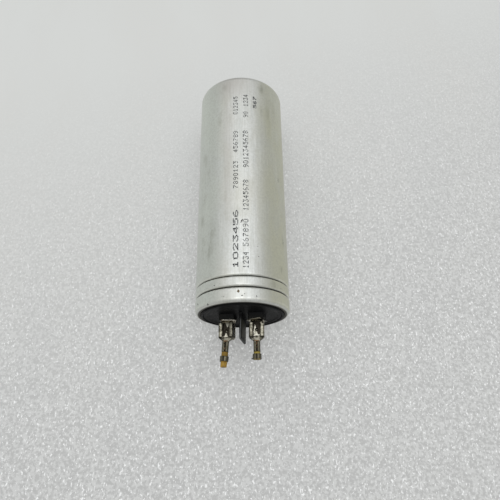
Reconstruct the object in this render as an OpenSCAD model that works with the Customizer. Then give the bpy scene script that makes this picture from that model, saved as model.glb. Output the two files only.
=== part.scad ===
// Film capacitor in a drawn aluminium can, with two double-tab terminals on a moulded cover.
// It stands on its closed end: Z = 0 is the closed end's face and the can's axis is Z.
// The front tab of each terminal still carries a crimped push-on receptacle with a cut wire.

/* [Can] */
// Outer diameter of the can
can_d = 50; // [46:0.5:60]
// Height from the closed end to the crest of the rolled rim
can_h = 141; // [110:1:180]
// Thickness of the drawn side wall
can_wall = 0.8; // [0.6:0.05:1]
// Thickness of the closed end
can_base = 1; // [0.8:0.1:1.5]
// Outer radius round the edge of the closed end
can_edge_r = 3.5; // [2.5:0.25:5]
// Radius of the rolled rim, measured over the sheet
rim_r = 2; // [1.8:0.1:2.4]
// Angle that the rim is rolled through
rim_sweep = 120; // [100:5:130]

/* [Beads] */
// Distance from the rim's crest down to the expansion bead
expansion_bead_drop = 13.4; // [12:0.1:18]
// Distance from the rim's crest down to the bead that the cover seats on
seat_bead_drop = 7.7; // [7.4:0.1:8.4]
// Depth of both beads
bead_depth = 1.6; // [1.5:0.05:2]
// Width of the slit that each bead closes to
bead_slit = 0.4; // [0.3:0.05:0.5]
// Fillet inside the wall where it turns into a bead
bead_fillet = 0.2; // [0.1:0.05:0.25]

/* [Cover] */
// Thickness of the cover's seat flange
flange_t = 3; // [2.4:0.1:3.4]
// Thickness of the deck
deck_t = 2.4; // [2:0.1:3]
// Height of the deck's edge above the rim's crest
deck_rise = 0.3; // [0:0.1:0.6]
// Depth of the shallow dish in the deck
dish_depth = 0.4; // [0.2:0.1:0.8]
// Width of the raised edge round the dish
dish_rim = 1.2; // [0.8:0.1:2]
// Rounding along the deck's outer edge
deck_edge_r = 0.3; // [0.2:0.05:0.4]
// Radial thickness of the skirt under the deck
skirt_t = 2.5; // [2:0.1:3.5]
// Height of the terminal pads above the dish
pad_h = 2.9; // [2.2:0.1:3.4]
// Width of each pad, across the terminals
pad_w = 8.4; // [7.8:0.1:9]
// Depth of each pad
pad_d = 9; // [8.8:0.1:10]
// Corner radius of the pads
pad_corner_r = 1; // [0.5:0.1:1.5]

/* [Barrier] */
// Height of the barrier blade above the dish
barrier_h = 13.9; // [8:0.1:16]
// Depth of the barrier blade
barrier_d = 12.5; // [10:0.5:16]
// Thickness of the blade at its top
barrier_top_t = 1.2; // [0.8:0.1:1.5]
// Thickness of the blade where it leaves the deck
barrier_foot_t = 1.8; // [1.6:0.1:2.2]
// Rounding along the blade's top edges
barrier_edge_r = 0.35; // [0.2:0.05:0.4]

/* [Gasket] */
// Width of the gasket's lip, between the deck and the rolled rim
gasket_w = 1.3; // [1:0.1:2]
// Height of the gasket's lip above the rim's crest
gasket_rise = 0.8; // [0.5:0.1:1.2]
// Clearance between the gasket and what squeezes it
gasket_gap = 0.1; // [0.05:0.05:0.2]

/* [Terminals] */
// Distance between the two rivets
rivet_spacing = 15.5; // [14.5:0.1:17]
// Width of the tabs
tab_w = 6.3; // [6.2:0.05:6.4]
// Thickness of the tabs
tab_t = 0.8; // [0.7:0.05:0.9]
// Distance from the rivet's axis to the middle of each tab
tab_offset = 3.2; // [3:0.05:3.4]
// Height of the tabs' tips above the pads
tab_h = 9.1; // [8.8:0.1:10.4]
// Inner radius of the bends between the base and the tabs
tab_bend_r = 0.4; // [0.2:0.05:0.5]
// Length of the chamfers on the tabs' tips
tab_chamfer = 1; // [0.5:0.1:1.4]
// Depth of the bevels that thin the tabs' tips
tab_bevel = 0.2; // [0.1:0.05:0.25]
// Diameter of the detent hole in each tab
detent_d = 1.7; // [1.2:0.1:2]
// Distance from a tab's tip to the middle of its detent hole
detent_drop = 3.2; // [2.6:0.1:4]
// Turn of each terminal about its rivet, outwards at the front
terminal_turn = 3; // [0:1:10]

/* [Seat plates] */
// Width of the plate under each terminal
seat_w = 7.8; // [6.6:0.1:8]
// Depth of the plate under each terminal
seat_d = 8.8; // [8:0.1:9]
// Thickness of the plates
seat_t = 0.5; // [0.4:0.05:0.8]
// Turn of the left plate about its rivet, inwards at the front
left_seat_turn = 16; // [0:1:24]
// Turn of the right plate about its rivet, inwards at the front
right_seat_turn = 22; // [0:1:24]

/* [Rivets] */
// Diameter of the rivets' shanks
rivet_d = 3.1; // [2.4:0.1:3.4]
// Diameter of the rivets' heads
rivet_head_d = 4.5; // [4:0.1:4.6]
// Height of the rivets' heads
rivet_head_h = 1.2; // [0.8:0.1:1.3]
// Diameter of the rivets' upset tails
rivet_tail_d = 5.2; // [4.6:0.1:6]
// Height of the rivets' upset tails
rivet_tail_h = 0.8; // [0.5:0.1:1.2]
// Chamfer on the rivets' upset tails
rivet_tail_chamfer = 0.2; // [0.1:0.05:0.3]
// Clearance round a rivet's shank
rivet_gap = 0.05; // [0.03:0.01:0.1]

/* [Receptacles] */
// Thickness of the receptacles' sheet
sheet_t = 0.4; // [0.3:0.05:0.4]
// Clearance between a tab and the receptacle on it
tab_gap = 0.02; // [0.01:0.01:0.04]
// Gap between the bend at a tab's root and the receptacle's mouth
mouth_gap = 0.1; // [0.05:0.05:0.5]
// Distance from a tab's tip down to the end of the rolls that grip it
roll_drop = 0; // [0:0.1:0.5]
// Radius of the rolls, to the middle of the sheet
roll_r = 1; // [0.8:0.05:1.05]
// Angle that each roll is turned through
roll_turn = 195; // [190:1:200]
// Gap between a tab's tip and the start of the taper
tip_gap = 0.2; // [0.1:0.05:0.4]
// Length of the taper between the tab's tip and the wire crimp
taper_l = 2.2; // [1.8:0.1:3]
// Length of the crimp on the strands
crimp_l = 5.2; // [4:0.1:6]
// Width of the crimp on the strands
crimp_w = 3.4; // [3.2:0.1:3.8]
// Height of the crimp on the strands
crimp_h = 2.3; // [2.2:0.05:2.5]
// Angle that each of the crimp's two lobes is turned through
lobe_turn = 200; // [195:1:205]
// Width of the strip that joins the two crimps
strip_w = 2.2; // [1.6:0.1:2.6]
// Length of that strip inside the crimp on the strands
strip_lap = 1; // [0.8:0.1:1.4]
// Length of the crimp on the insulation
clamp_l = 2.6; // [2:0.1:3]
// Angle that each side of that crimp reaches round from the middle height of the wire
clamp_turn = 85; // [75:1:88]
// How much less far the right receptacle is pushed on than the left one
right_drawn_back = 0.6; // [0:0.1:1]
// How far the lengths that make up one piece run into each other
joined = 0.05; // [0.03:0.01:0.08]
// Length of the bent-out corner of the right receptacle's last crimp
ear_l = 0.9; // [0.4:0.1:1.2]
// Height of that corner
ear_h = 0.5; // [0.3:0.1:0.8]
// Angle at which that corner stands out from the side of the crimp
ear_turn = 25; // [0:5:30]

/* [Wires] */
// Outer diameter of the insulation
wire_d = 3.4; // [3:0.1:3.6]
// Diameter of the bundle of strands
strands_d = 1.9; // [1.4:0.1:2.2]
// Length of strands that stands out of the crimp towards the tab
brush_l = 0.6; // [0.2:0.1:0.8]
// Gap between the two crimps on the left wire
left_bare_l = 2.3; // [1:0.1:4]
// Gap between the two crimps on the right wire
right_bare_l = 1.2; // [0.8:0.1:4]
// Length of the left wire's stub beyond its crimps
left_stub_l = 2.8; // [0:0.1:6]
// Lean of the left wire, outwards
left_lean = 4; // [0:0.5:6]
// Clearance round the wires in their crimps
wire_gap = 0.05; // [0.03:0.01:0.1]

/* [Roll] */
// Outer diameter of the film roll's core tube
core_d = 10; // [8:0.5:14]
// Wall of the core tube
core_wall = 1.5; // [1:0.1:2]
// Thickness of the sprayed contact layers
spray_t = 0.6; // [0.4:0.1:1]
// Clearance between the roll and the parts round it
roll_gap = 0.1; // [0.05:0.05:0.2]
// Thickness of the insulating liner
liner_t = 0.4; // [0.3:0.05:0.5]

/* [Cup and plate] */
// Thickness of the base cup's floor
cup_floor = 1.4; // [1.2:0.1:2]
// Thickness of the base cup's wall
cup_wall = 0.8; // [0.6:0.05:1]
// Height of the base cup
cup_h = 14; // [8:1:24]
// Height of the ring in the cup that the roll stands on
cup_ring_h = 1.8; // [1.6:0.1:3]
// Width of the rings that bear on the roll's ends
bearing_w = 2.4; // [1.5:0.1:3]
// Thickness of the plate above the roll
plate_t = 1.5; // [1:0.1:2.5]
// Height of the ring between the plate and the roll
plate_ring_h = 2.6; // [2:0.1:4]

/* [Leads] */
// Diameter of the inner leads
lead_d = 1; // [0.8:0.1:1.2]
// Clearance round a lead in a hole, sleeve or joint
lead_gap = 0.05; // [0.03:0.01:0.1]
// Radius of the bend at the long lead's foot
lead_bend_r = 3; // [2:0.1:3]
// Reach of the long lead's foot beyond the core tube
foot_reach = 3.6; // [3:0.1:4]
// How far the long lead's slack bows aside
lead_bow = 1.1; // [0.6:0.1:1.4]
// Run of the short lead from its lug's eye to its foot, across and back
short_run = [4, 1]; // [0:0.1:5]
// Depth of the leads' ends below the lugs' upper faces
eye_depth = 0.1; // [0.05:0.05:0.2]
// Wall of the sleeve on the long lead
sleeve_wall = 0.55; // [0.4:0.05:0.8]
// Radius of the ring of a solder lug
lug_r = 3.4; // [3:0.1:3.8]
// Thickness of the solder lugs
lug_t = 0.5; // [0.4:0.1:0.8]
// Distance from a rivet's axis to its lug's lead hole
lug_reach = 6; // [5:0.1:6.5]
// Radius of the lugs' tongues round their lead holes
tongue_r = 1.6; // [1.4:0.1:2]
// Radius of the soldered joints
joint_r = 1.5; // [1.2:0.1:1.8]
// Height of the soldered joints
joint_h = 1.1; // [0.8:0.1:1.4]
// Width of solder left round a lead at a joint's tip
joint_neck = 0.2; // [0.1:0.05:0.3]

/* [Hidden] */

$fn = 96;
steps = 8; // Segments in each small arc of a profile
past = 1; // How far a cut runs past what it cuts

// The can
can_r = can_d / 2;
bore_r = can_r - can_wall;
seat_z = can_h - seat_bead_drop;
expansion_z = can_h - expansion_bead_drop;
bead_half = bead_slit / 2 + can_wall; // From a bead's middle to the shelf that it makes inside
rim_c = [can_r - rim_r, can_h - rim_r]; // Centre of the rolled rim's section
rim_lip_r = rim_c[0] + rim_r * cos(rim_sweep); // Opening inside the rolled rim
inner_edge_r = can_edge_r - can_wall;
disc_r = bore_r - bead_fillet; // Discs that seat on a bead clear the fillet above it

// The cover, from the seat bead up
gasket_r = rim_lip_r - gasket_gap - gasket_w; // Bore of the gasket
deck_r = gasket_r - gasket_gap;
flange_z = seat_z + bead_half;
flange_top = flange_z + flange_t;
deck_z = can_h + deck_rise;
dish_z = deck_z - dish_depth;
deck_under = dish_z - deck_t;
pad_z = dish_z + pad_h;
pad_x = rivet_spacing / 2;

// The terminals and receptacles, from the pads up
base_z = pad_z + seat_t;
base_top = base_z + tab_t;
tab_tip = pad_z + tab_h;
mouth_z = base_top + tab_bend_r + mouth_gap;
roll_end = tab_tip - roll_drop;
taper_z = tab_tip + tip_gap;
crimp_z = taper_z + taper_l;
crimp_end = crimp_z + crimp_l;
sleeve_z = crimp_end + 3 * joined; // The insulation starts clear of the squeezed strands

// Sections of a receptacle, in a plane across the tab, from the tab's middle
back_y = tab_t / 2 + tab_gap + sheet_t / 2;
bend_r = 1.5 * sheet_t; // To the middle of the sheet
side_x = tab_w / 2 + bend_r;
roll_y = -(tab_t / 2 + 2 * tab_gap) - (roll_r + sheet_t / 2) * sin(roll_turn - 180);
crimp_x = (crimp_w - sheet_t) / 2;
lobe_r = (crimp_x - sheet_t / 2 - wire_gap / 2) / 2;
lobe_y = back_y + sheet_t / 2 - crimp_h + sheet_t / 2 + lobe_r;
wire_y = (back_y + lobe_y - lobe_r) / 2; // Axis of the wire
clamp_r = wire_d / 2 + wire_gap + sheet_t / 2;

// The roll, from the closed end up
cup_floor_z = can_base + cup_floor;
ledge_z = can_base + inner_edge_r; // Where the can's wall becomes straight
roll_z0 = max(cup_floor_z + cup_ring_h, ledge_z);
plate_top = expansion_z - bead_half;
plate_z = plate_top - plate_t;
roll_z1 = plate_z - plate_ring_h;
core_r = core_d / 2;
cup_bore_r = disc_r - cup_wall;
liner_r = cup_bore_r - roll_gap;
winding_r = liner_r - liner_t - roll_gap;
bearing_r = winding_r - 2 * roll_gap; // Outside of the rings that bear on the roll's ends

// The leads
lug_z = deck_under - lug_t;
tail_z = lug_z - rivet_tail_h;
lead_r = lead_d / 2;
lead_hole_r = lead_r + lead_gap;
sleeve_r = lead_hole_r + sleeve_wall;
foot_z = roll_z0 - lead_hole_r; // The long lead's foot, under the roll
foot_x = core_r + foot_reach;
left_eye = [pad_x, lug_reach];
right_eye = [lug_reach - pad_x, 0];
short_foot = left_eye + short_run; // Where the short lead leaves the roll
eye_z = lug_z + lug_t - eye_depth; // Where both leads end, in the lugs' eyes

// Height at a share of the slack between the plate and the joints under the lugs
function slack_z(share) = plate_top + share * (lug_z - joint_h - plate_top);

// A point of the long lead's slack: its shares of the bow, of the way to the right eye and of the height
function slack(bow, way, share) =
    [bow[0] * lead_bow + way * right_eye[0], bow[1] * lead_bow, slack_z(share)];

// A point of the short lead: its shares of the way back from the left eye and of the height
function run(way, share) = concat(left_eye + way * short_run, [slack_z(share)]);

// The long lead's route, from its foot under the roll to the right lug
long_route = concat(
    [[foot_x, 0, foot_z]],
    [for (p = arc([lead_bend_r, foot_z + lead_bend_r], lead_bend_r, 270, 180, 6)) [p[0], 0, p[1]]],
    [
        slack([0, 0], 0, 0.1), slack([0.1, 0.3], 0, 0.2), slack([0.4, 0.8], 0, 0.32),
        slack([0.5, 1], 0, 0.45), slack([0.3, 0.8], 0.2, 0.58), slack([0.1, 0.4], 0.6, 0.72),
        slack([0, 0.1], 0.93, 0.86), slack([0, 0], 1, 0.95), [right_eye[0], 0, eye_z],
    ]
);

// The short lead's route, from the top of the roll to the left lug
short_route = [
    [short_foot[0], short_foot[1], roll_z1 + lead_gap],
    run(1, 0.06), run(0.97, 0.18), run(0.77, 0.34), run(0.5, 0.48), run(0.22, 0.62),
    run(0.05, 0.78), run(0, 0.95), [left_eye[0], left_eye[1], eye_z],
];

// Points on an arc about c, from angle a0 to a1
function arc(c, r, a0, a1, n = steps) =
    [for (i = [0:n]) let (a = a0 + (a1 - a0) * i / n) c + r * [cos(a), sin(a)]];

function reversed(p) = [for (i = [len(p) - 1:-1:0]) p[i]];

function unit(v) = v / norm(v);

// The wall's outside through a bead at height z, going up
function bead_outside(z) =
    let (r = can_wall + bead_fillet, half = bead_slit / 2, floor_r = can_r - bead_depth + half)
    concat(
        arc([can_r - r, z - half - r], r, 0, 90),
        arc([floor_r, z], half, 270, 90),
        arc([can_r - r, z + half + r], r, 270, 360)
    );

// The wall's inside through the same bead, going up
function bead_inside(z) =
    let (r = bead_fillet, shift = bead_half + r, nose_r = can_r - bead_depth + bead_slit / 2)
    concat(
        arc([bore_r - r, z - shift], r, 0, 90),
        arc([nose_r, z], bead_half, 270, 90),
        arc([bore_r - r, z + shift], r, 270, 360)
    );

// One side of a bent strip: its middle line moved sideways by d
function side(path, d) =
    [for (i = [0:len(path) - 1])
        let (v = unit(path[min(i + 1, len(path) - 1)] - path[max(i - 1, 0)]))
        path[i] + d * [-v[1], v[0]]];

// The closed outline of a bent strip of sheet
function strip(path, t = sheet_t) = concat(side(path, -t / 2), reversed(side(path, t / 2)));

// A path from its right half, mirrored in the middle of the receptacle
function both_halves(half) = concat(reversed([for (p = half) [-p[0], p[1]]]), half);

// Middle line of the sheet round a tab, with a roll along each side
function grip_path() = both_halves(concat(
    arc([tab_w / 2, back_y - bend_r], bend_r, 90, 0),
    arc([side_x - roll_r, roll_y], roll_r, 0, -roll_turn, 2 * steps)
));

// Middle line of the sheet round the strands: two lobes that meet in a seam
function crimp_path() = both_halves(concat(
    arc([crimp_x - bend_r, back_y - bend_r], bend_r, 90, 0),
    arc([crimp_x - lobe_r, lobe_y], lobe_r, 0, -lobe_turn, 2 * steps)
));

// Middle line of the sheet round the insulation
function clamp_path() = both_halves(arc([0, wire_y], clamp_r, clamp_turn, -clamp_turn, 2 * steps));

// Middle line of an open channel with its sides at x, up to y
function channel_path(x, y) = both_halves(concat(
    arc([x - bend_r, back_y - bend_r], bend_r, 90, 0),
    [[x, y]]
));

// Middle line of the strip between the crimps, in Y and Z: it steps back from the first to the second
function joining_path(bare_l) = [
    [back_y, crimp_end - strip_lap], [wire_y + clamp_r, crimp_end - joined],
    [wire_y + clamp_r, crimp_end + bare_l + joined],
];

// A flat outline placed at a height, and leant about the start of the taper
function placed(outline, z, angle = 0) =
    [for (p = outline)
        [p[0] * cos(angle) + (z - taper_z) * sin(angle), p[1],
         taper_z + (z - taper_z) * cos(angle) - p[0] * sin(angle)]];

// Outline of the strands where the crimp holds them
function strands_outline() =
    let (
        d = sheet_t / 2 + wire_gap,
        right = concat(
            arc([crimp_x - bend_r, back_y - bend_r], bend_r - d, 90, 0),
            arc([crimp_x - lobe_r, lobe_y], lobe_r - d, 0, -180, 2 * steps),
            [[crimp_x - 2 * lobe_r + d, lobe_y + 0.5 * lobe_r], [wire_gap, lobe_y + lobe_r]]
        )
    )
    both_halves(right);

module ring(r_in, r_out, z0, z1) {
    translate([0, 0, z0])
        difference() {
            cylinder(r = r_out, h = z1 - z0);
            translate([0, 0, -past]) cylinder(r = r_in, h = z1 - z0 + 2 * past);
        }
}

module rounded_rect(w, d, r) {
    square([w - 2 * r, d], center = true);
    square([w, d - 2 * r], center = true);
    for (x = [-1, 1], y = [-1, 1])
        translate([x * (w / 2 - r), y * (d / 2 - r)]) circle(r = r);
}

// Puts a child at the left (1) or right (-1) rivet, turned outwards with its terminal
module at_terminal(s) {
    translate([s * pad_x, 0, 0]) rotate([0, 0, s * terminal_turn]) children();
}

// Puts a child on the front tab of a terminal, with the tab's middle plane at Y = 0
module at_front_tab(s) {
    at_terminal(s) translate([0, -tab_offset, 0]) children();
}

// Puts a child where a receptacle is pushed on a front tab
module at_receptacle(s) {
    at_front_tab(s) translate([0, 0, s < 0 ? right_drawn_back : 0]) children();
}

// Leans a child about the start of the taper
module leaning(angle) {
    translate([0, 0, taper_z]) rotate([0, angle, 0]) translate([0, 0, -taper_z]) children();
}

// A round lead swept along a route
module lead(route) {
    sides = 10;
    last = len(route) - 1;
    rings = [
        for (i = [0:last])
            let (
                along = unit(route[min(i + 1, last)] - route[max(i - 1, 0)]),
                across = unit(cross(along, [0.2, 1, 0])),
                up = cross(along, across)
            )
            for (k = [0:sides - 1])
                route[i] + lead_r * (cos(360 * k / sides) * across + sin(360 * k / sides) * up)
    ];
    walls = [
        for (i = [0:last - 1], k = [0:sides - 1])
            let (a = i * sides + k, b = i * sides + (k + 1) % sides)
            [a, a + sides, b + sides, b]
    ];
    first_cap = [for (k = [0:sides - 1]) k];
    last_cap = [for (k = [sides - 1:-1:0]) last * sides + k];
    polyhedron(rings, concat(walls, [first_cap, last_cap]), convexity = 6);
}

module can() {
    outside = concat(
        [[0, 0]],
        arc([can_r - can_edge_r, can_edge_r], can_edge_r, -90, 0),
        bead_outside(expansion_z),
        bead_outside(seat_z),
        arc(rim_c, rim_r, 0, rim_sweep, 2 * steps)
    );
    inside = concat(
        [[0, can_base]],
        arc([bore_r - inner_edge_r, can_base + inner_edge_r], inner_edge_r, -90, 0),
        bead_inside(expansion_z),
        bead_inside(seat_z),
        arc(rim_c, rim_r - can_wall, 0, rim_sweep, 2 * steps)
    );
    color("silver") rotate_extrude($fn = 180) polygon(concat(outside, reversed(inside)));
}

module cover() {
    dish_r = deck_r - dish_rim;
    skirt_r = deck_r - skirt_t;
    body = concat(
        [[skirt_r, flange_z], [disc_r, flange_z], [disc_r, flange_top], [deck_r, flange_top]],
        arc([deck_r - deck_edge_r, deck_z - deck_edge_r], deck_edge_r, 0, 90),
        [[dish_r, deck_z], [dish_r - 2 * dish_depth, dish_z], [0, dish_z]],
        [[0, deck_under], [skirt_r, deck_under]]
    );
    blade = concat(
        [[barrier_foot_t / 2, -dish_depth]],
        arc([barrier_top_t / 2 - barrier_edge_r, barrier_h - barrier_edge_r], barrier_edge_r, 0, 90),
        arc([barrier_edge_r - barrier_top_t / 2, barrier_h - barrier_edge_r], barrier_edge_r, 90, 180),
        [[-barrier_foot_t / 2, -dish_depth]]
    );
    color("dimgray")
        difference() {
            union() {
                rotate_extrude() polygon(body);
                for (s = [1, -1])
                    translate([s * pad_x, 0, dish_z - dish_depth])
                        linear_extrude(pad_h + dish_depth) rounded_rect(pad_w, pad_d, pad_corner_r);
                translate([0, barrier_d / 2, dish_z])
                    rotate([90, 0, 0]) linear_extrude(barrier_d) polygon(blade);
            }
            for (s = [1, -1])
                translate([s * pad_x, 0, deck_under - past])
                    cylinder(d = rivet_d + 2 * rivet_gap, h = pad_z - deck_under + 2 * past);
        }
}

module cover_gasket() {
    lip_r = gasket_w / 2;
    lip_c = [gasket_r + lip_r, can_h + gasket_rise - lip_r];
    squeeze_r = rim_r - can_wall - gasket_gap;
    edge_low = rim_c + (rim_r - can_wall) * [cos(rim_sweep), sin(rim_sweep)];
    edge_high = rim_c + rim_r * [cos(rim_sweep), sin(rim_sweep)];
    off = gasket_gap * [-sin(rim_sweep), cos(rim_sweep)];
    lip_sweep = rim_sweep - 2; // Stops short of the rim's cut edge
    section = concat(
        [[gasket_r, flange_top], [bore_r - gasket_gap, flange_top]],
        arc(rim_c, squeeze_r, 0, lip_sweep),
        [edge_low + off, edge_high + off],
        arc(lip_c, lip_r, 0, 180)
    );
    color("black") rotate_extrude() polygon(section);
}

// The plate between a pad and its terminal
module seat_plate(s, turn) {
    color("lightgray") translate([s * pad_x, 0, pad_z]) rotate([0, 0, -s * turn])
        linear_extrude(seat_t)
            difference() {
                square([seat_w, seat_d], center = true);
                circle(d = rivet_d + 2 * rivet_gap);
            }
}

// One strip folded into a base and two upright tabs
module terminal(s) {
    outer_y = tab_offset + tab_t / 2;
    inner_y = tab_offset - tab_t / 2;
    outer_r = tab_bend_r + tab_t;
    low_z = base_z - past;
    deep = 2 * (outer_y + past);
    right_side = concat(
        arc([outer_y - outer_r, base_z + outer_r], outer_r, -90, 0),
        [[outer_y, tab_tip - tab_chamfer], [outer_y - tab_bevel, tab_tip], [inner_y + tab_bevel, tab_tip]],
        [[inner_y, tab_tip - tab_chamfer]],
        arc([inner_y - tab_bend_r, base_top + tab_bend_r], tab_bend_r, 0, -90)
    );
    outline = [
        [-tab_w / 2, low_z], [tab_w / 2, low_z], [tab_w / 2, tab_tip - tab_chamfer],
        [tab_w / 2 - tab_chamfer, tab_tip], [tab_chamfer - tab_w / 2, tab_tip],
        [-tab_w / 2, tab_tip - tab_chamfer],
    ];
    color("lightgray") at_terminal(s)
        difference() {
            intersection() {
                translate([-tab_w / 2, 0, 0]) rotate([90, 0, 90])
                    linear_extrude(tab_w)
                        polygon(concat(right_side, reversed([for (p = right_side) [-p[0], p[1]]])));
                translate([0, deep / 2, 0]) rotate([90, 0, 0]) linear_extrude(deep) polygon(outline);
            }
            translate([0, 0, low_z]) cylinder(d = rivet_d + 2 * rivet_gap, h = tab_t + 2 * past);
            translate([0, deep / 2, tab_tip - detent_drop])
                rotate([90, 0, 0]) cylinder(d = detent_d, h = deep);
        }
}

module rivet(s) {
    head_r = rivet_head_d / 2;
    dome_r = (head_r * head_r + rivet_head_h * rivet_head_h) / (2 * rivet_head_h);
    dome_a = asin((dome_r - rivet_head_h) / dome_r);
    tail_r = rivet_tail_d / 2;
    section = concat(
        [[0, tail_z], [tail_r - rivet_tail_chamfer, tail_z], [tail_r, tail_z + rivet_tail_chamfer]],
        [[tail_r, lug_z], [rivet_d / 2, lug_z], [rivet_d / 2, base_top]],
        arc([0, base_top + rivet_head_h - dome_r], dome_r, dome_a, 90)
    );
    color("gainsboro") translate([s * pad_x, 0, 0]) rotate_extrude() polygon(section);
}

// A solid along a bent strip's sections, lowest first: each lists one side out and the other back
module loft(sections) {
    n = len(sections[0]);
    last = len(sections) - 1;
    walls = [
        for (i = [0:last - 1], k = [0:n - 1])
            let (a = i * n + k, b = i * n + (k + 1) % n)
            each [[a, a + n, b + n], [a, b + n, b]]
    ];
    caps = [
        for (k = [0:n / 2 - 2])
            let (a = k, b = k + 1, c = n - 2 - k, d = n - 1 - k, up = last * n)
            each [[a, b, c], [a, c, d], [a + up, c + up, b + up], [a + up, d + up, c + up]]
    ];
    polyhedron([for (s = sections) each s], concat(walls, caps), convexity = 8);
}

// A push-on receptacle: a rolled grip, a taper, a crimp on the strands and one on the insulation
module receptacle(s, bare_l, lean) {
    grip_channel = strip(channel_path(side_x, roll_y));
    crimp_channel = strip(channel_path(crimp_x, lobe_y), sheet_t - joined); // Ends inside the crimp's sheet
    color("lightgray") at_receptacle(s) {
        translate([0, 0, mouth_z]) linear_extrude(roll_end - mouth_z) polygon(strip(grip_path()));
        loft([
            placed(grip_channel, roll_end - joined),
            placed(grip_channel, taper_z),
            placed(crimp_channel, crimp_z + joined, s * lean),
        ]);
        leaning(s * lean) {
            translate([0, 0, crimp_z]) linear_extrude(crimp_l) polygon(strip(crimp_path()));
            translate([-strip_w / 2, 0, 0]) rotate([90, 0, 90])
                linear_extrude(strip_w) polygon(strip(joining_path(bare_l)));
            translate([0, 0, crimp_end + bare_l]) linear_extrude(clamp_l) polygon(strip(clamp_path()));
            if (s < 0)
                translate([clamp_r, wire_y, crimp_end + bare_l + clamp_l - ear_h - joined])
                    rotate([0, 0, -ear_turn])
                        translate([-sheet_t / 4, -sheet_t / 2, 0])
                            cube([ear_l + sheet_t / 4, sheet_t, ear_h]);
        }
    }
}

// What is left of a wire's insulation
module wire_insulation(s, bare_l, stub_l, lean, shade) {
    color(shade) at_receptacle(s) leaning(s * lean) translate([0, wire_y, 0])
        ring(strands_d / 2 + wire_gap, wire_d / 2, sleeve_z, crimp_end + bare_l + clamp_l + stub_l);
}

// The strands, squeezed to the crimp's shape and round inside the insulation
module wire_strands(s, bare_l, stub_l, lean) {
    wire_end = crimp_end + bare_l + clamp_l + stub_l;
    color("peru") at_receptacle(s) leaning(s * lean) {
        translate([0, 0, crimp_z - brush_l])
            linear_extrude(crimp_l + 2 * joined + brush_l) polygon(strands_outline());
        translate([0, wire_y, crimp_end + joined]) cylinder(d = strands_d, h = wire_end - sleeve_z);
    }
}

module winding() {
    color("beige") ring(core_r + roll_gap, winding_r, roll_z0 + spray_t, roll_z1 - spray_t);
}

module core_tube() {
    color("ivory") ring(core_r - core_wall, core_r, roll_z0, roll_z1);
}

module spray(z) {
    color("gray") ring(core_r + roll_gap, winding_r, z, z + spray_t);
}

module base_cup() {
    section = concat(
        [[0, can_base]],
        arc([disc_r - inner_edge_r, can_base + inner_edge_r], inner_edge_r, -90, 0),
        [[disc_r, can_base + cup_h], [cup_bore_r, can_base + cup_h], [cup_bore_r, ledge_z]],
        [[bearing_r, ledge_z], [bearing_r, roll_z0], [bearing_r - bearing_w, roll_z0]],
        [[bearing_r - bearing_w, cup_floor_z], [0, cup_floor_z]]
    );
    color("white") rotate_extrude() polygon(section);
}

module liner() {
    color("khaki") ring(liner_r - liner_t, liner_r, ledge_z, plate_z - roll_gap);
}

module top_plate() {
    color("white")
        difference() {
            union() {
                translate([0, 0, plate_z]) cylinder(r = disc_r, h = plate_t);
                ring(bearing_r - bearing_w, bearing_r, roll_z1, plate_z + joined);
            }
            translate([0, 0, plate_z - past]) cylinder(r = sleeve_r + roll_gap, h = plate_t + 2 * past);
            translate([short_foot[0], short_foot[1], plate_z - past])
                cylinder(r = lead_r + 2 * roll_gap, h = plate_t + 2 * past);
        }
}

// A flat ring under the cover with a tongue for the lead
module solder_lug(s, angle) {
    color("goldenrod") translate([s * pad_x, 0, lug_z]) rotate([0, 0, angle])
        linear_extrude(lug_t)
            difference() {
                union() {
                    circle(r = lug_r);
                    translate([0, -tongue_r]) square([lug_reach, 2 * tongue_r]);
                    translate([lug_reach, 0]) circle(r = tongue_r);
                }
                circle(d = rivet_d + 2 * rivet_gap);
                translate([lug_reach, 0]) circle(r = lead_hole_r);
            }
}

module lead_sleeve() {
    color("tomato") ring(lead_hole_r, sleeve_r, foot_z + lead_bend_r + lead_r, slack_z(0.08));
}

// A cone of solder, with or without a bore for an upright lead
module solder_cone(bore) {
    difference() {
        cylinder(r1 = joint_r, r2 = lead_hole_r + joint_neck, h = joint_h);
        if (bore) translate([0, 0, -past]) cylinder(r = lead_hole_r, h = joint_h + 2 * past);
    }
}

module solder_joints() {
    color("darkgray") {
        for (eye = [left_eye, right_eye])
            translate([eye[0], eye[1], lug_z]) mirror([0, 0, 1]) solder_cone(true);
        translate([short_foot[0], short_foot[1], roll_z1]) solder_cone(true);
        difference() {
            translate([foot_x, 0, roll_z0]) mirror([0, 0, 1]) solder_cone(false);
            translate([foot_x - 2 * joint_r, 0, foot_z]) rotate([0, 90, 0])
                cylinder(r = lead_hole_r, h = 2 * joint_r + lead_gap);
        }
    }
}

can();
cover();
cover_gasket();
seat_plate(1, left_seat_turn);  // left_seat_plate
seat_plate(-1, right_seat_turn);  // right_seat_plate
terminal(1);  // left_terminal
terminal(-1);  // right_terminal
rivet(1);  // left_rivet
rivet(-1);  // right_rivet
receptacle(1, left_bare_l, left_lean);  // left_receptacle
receptacle(-1, right_bare_l, 0);  // right_receptacle
wire_insulation(1, left_bare_l, left_stub_l, left_lean, "darkgoldenrod");  // left_wire_insulation
wire_insulation(-1, right_bare_l, 0, 0, "gold");  // right_wire_insulation
wire_strands(1, left_bare_l, left_stub_l, left_lean);  // left_wire_strands
wire_strands(-1, right_bare_l, 0, 0);  // right_wire_strands
winding();
core_tube();
spray(roll_z1 - spray_t);  // top_spray
spray(roll_z0);  // bottom_spray
base_cup();
liner();
top_plate();
solder_lug(1, 90);  // left_solder_lug
solder_lug(-1, 0);  // right_solder_lug
lead(long_route);  // long_lead
lead(short_route);  // short_lead
lead_sleeve();
solder_joints();
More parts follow.
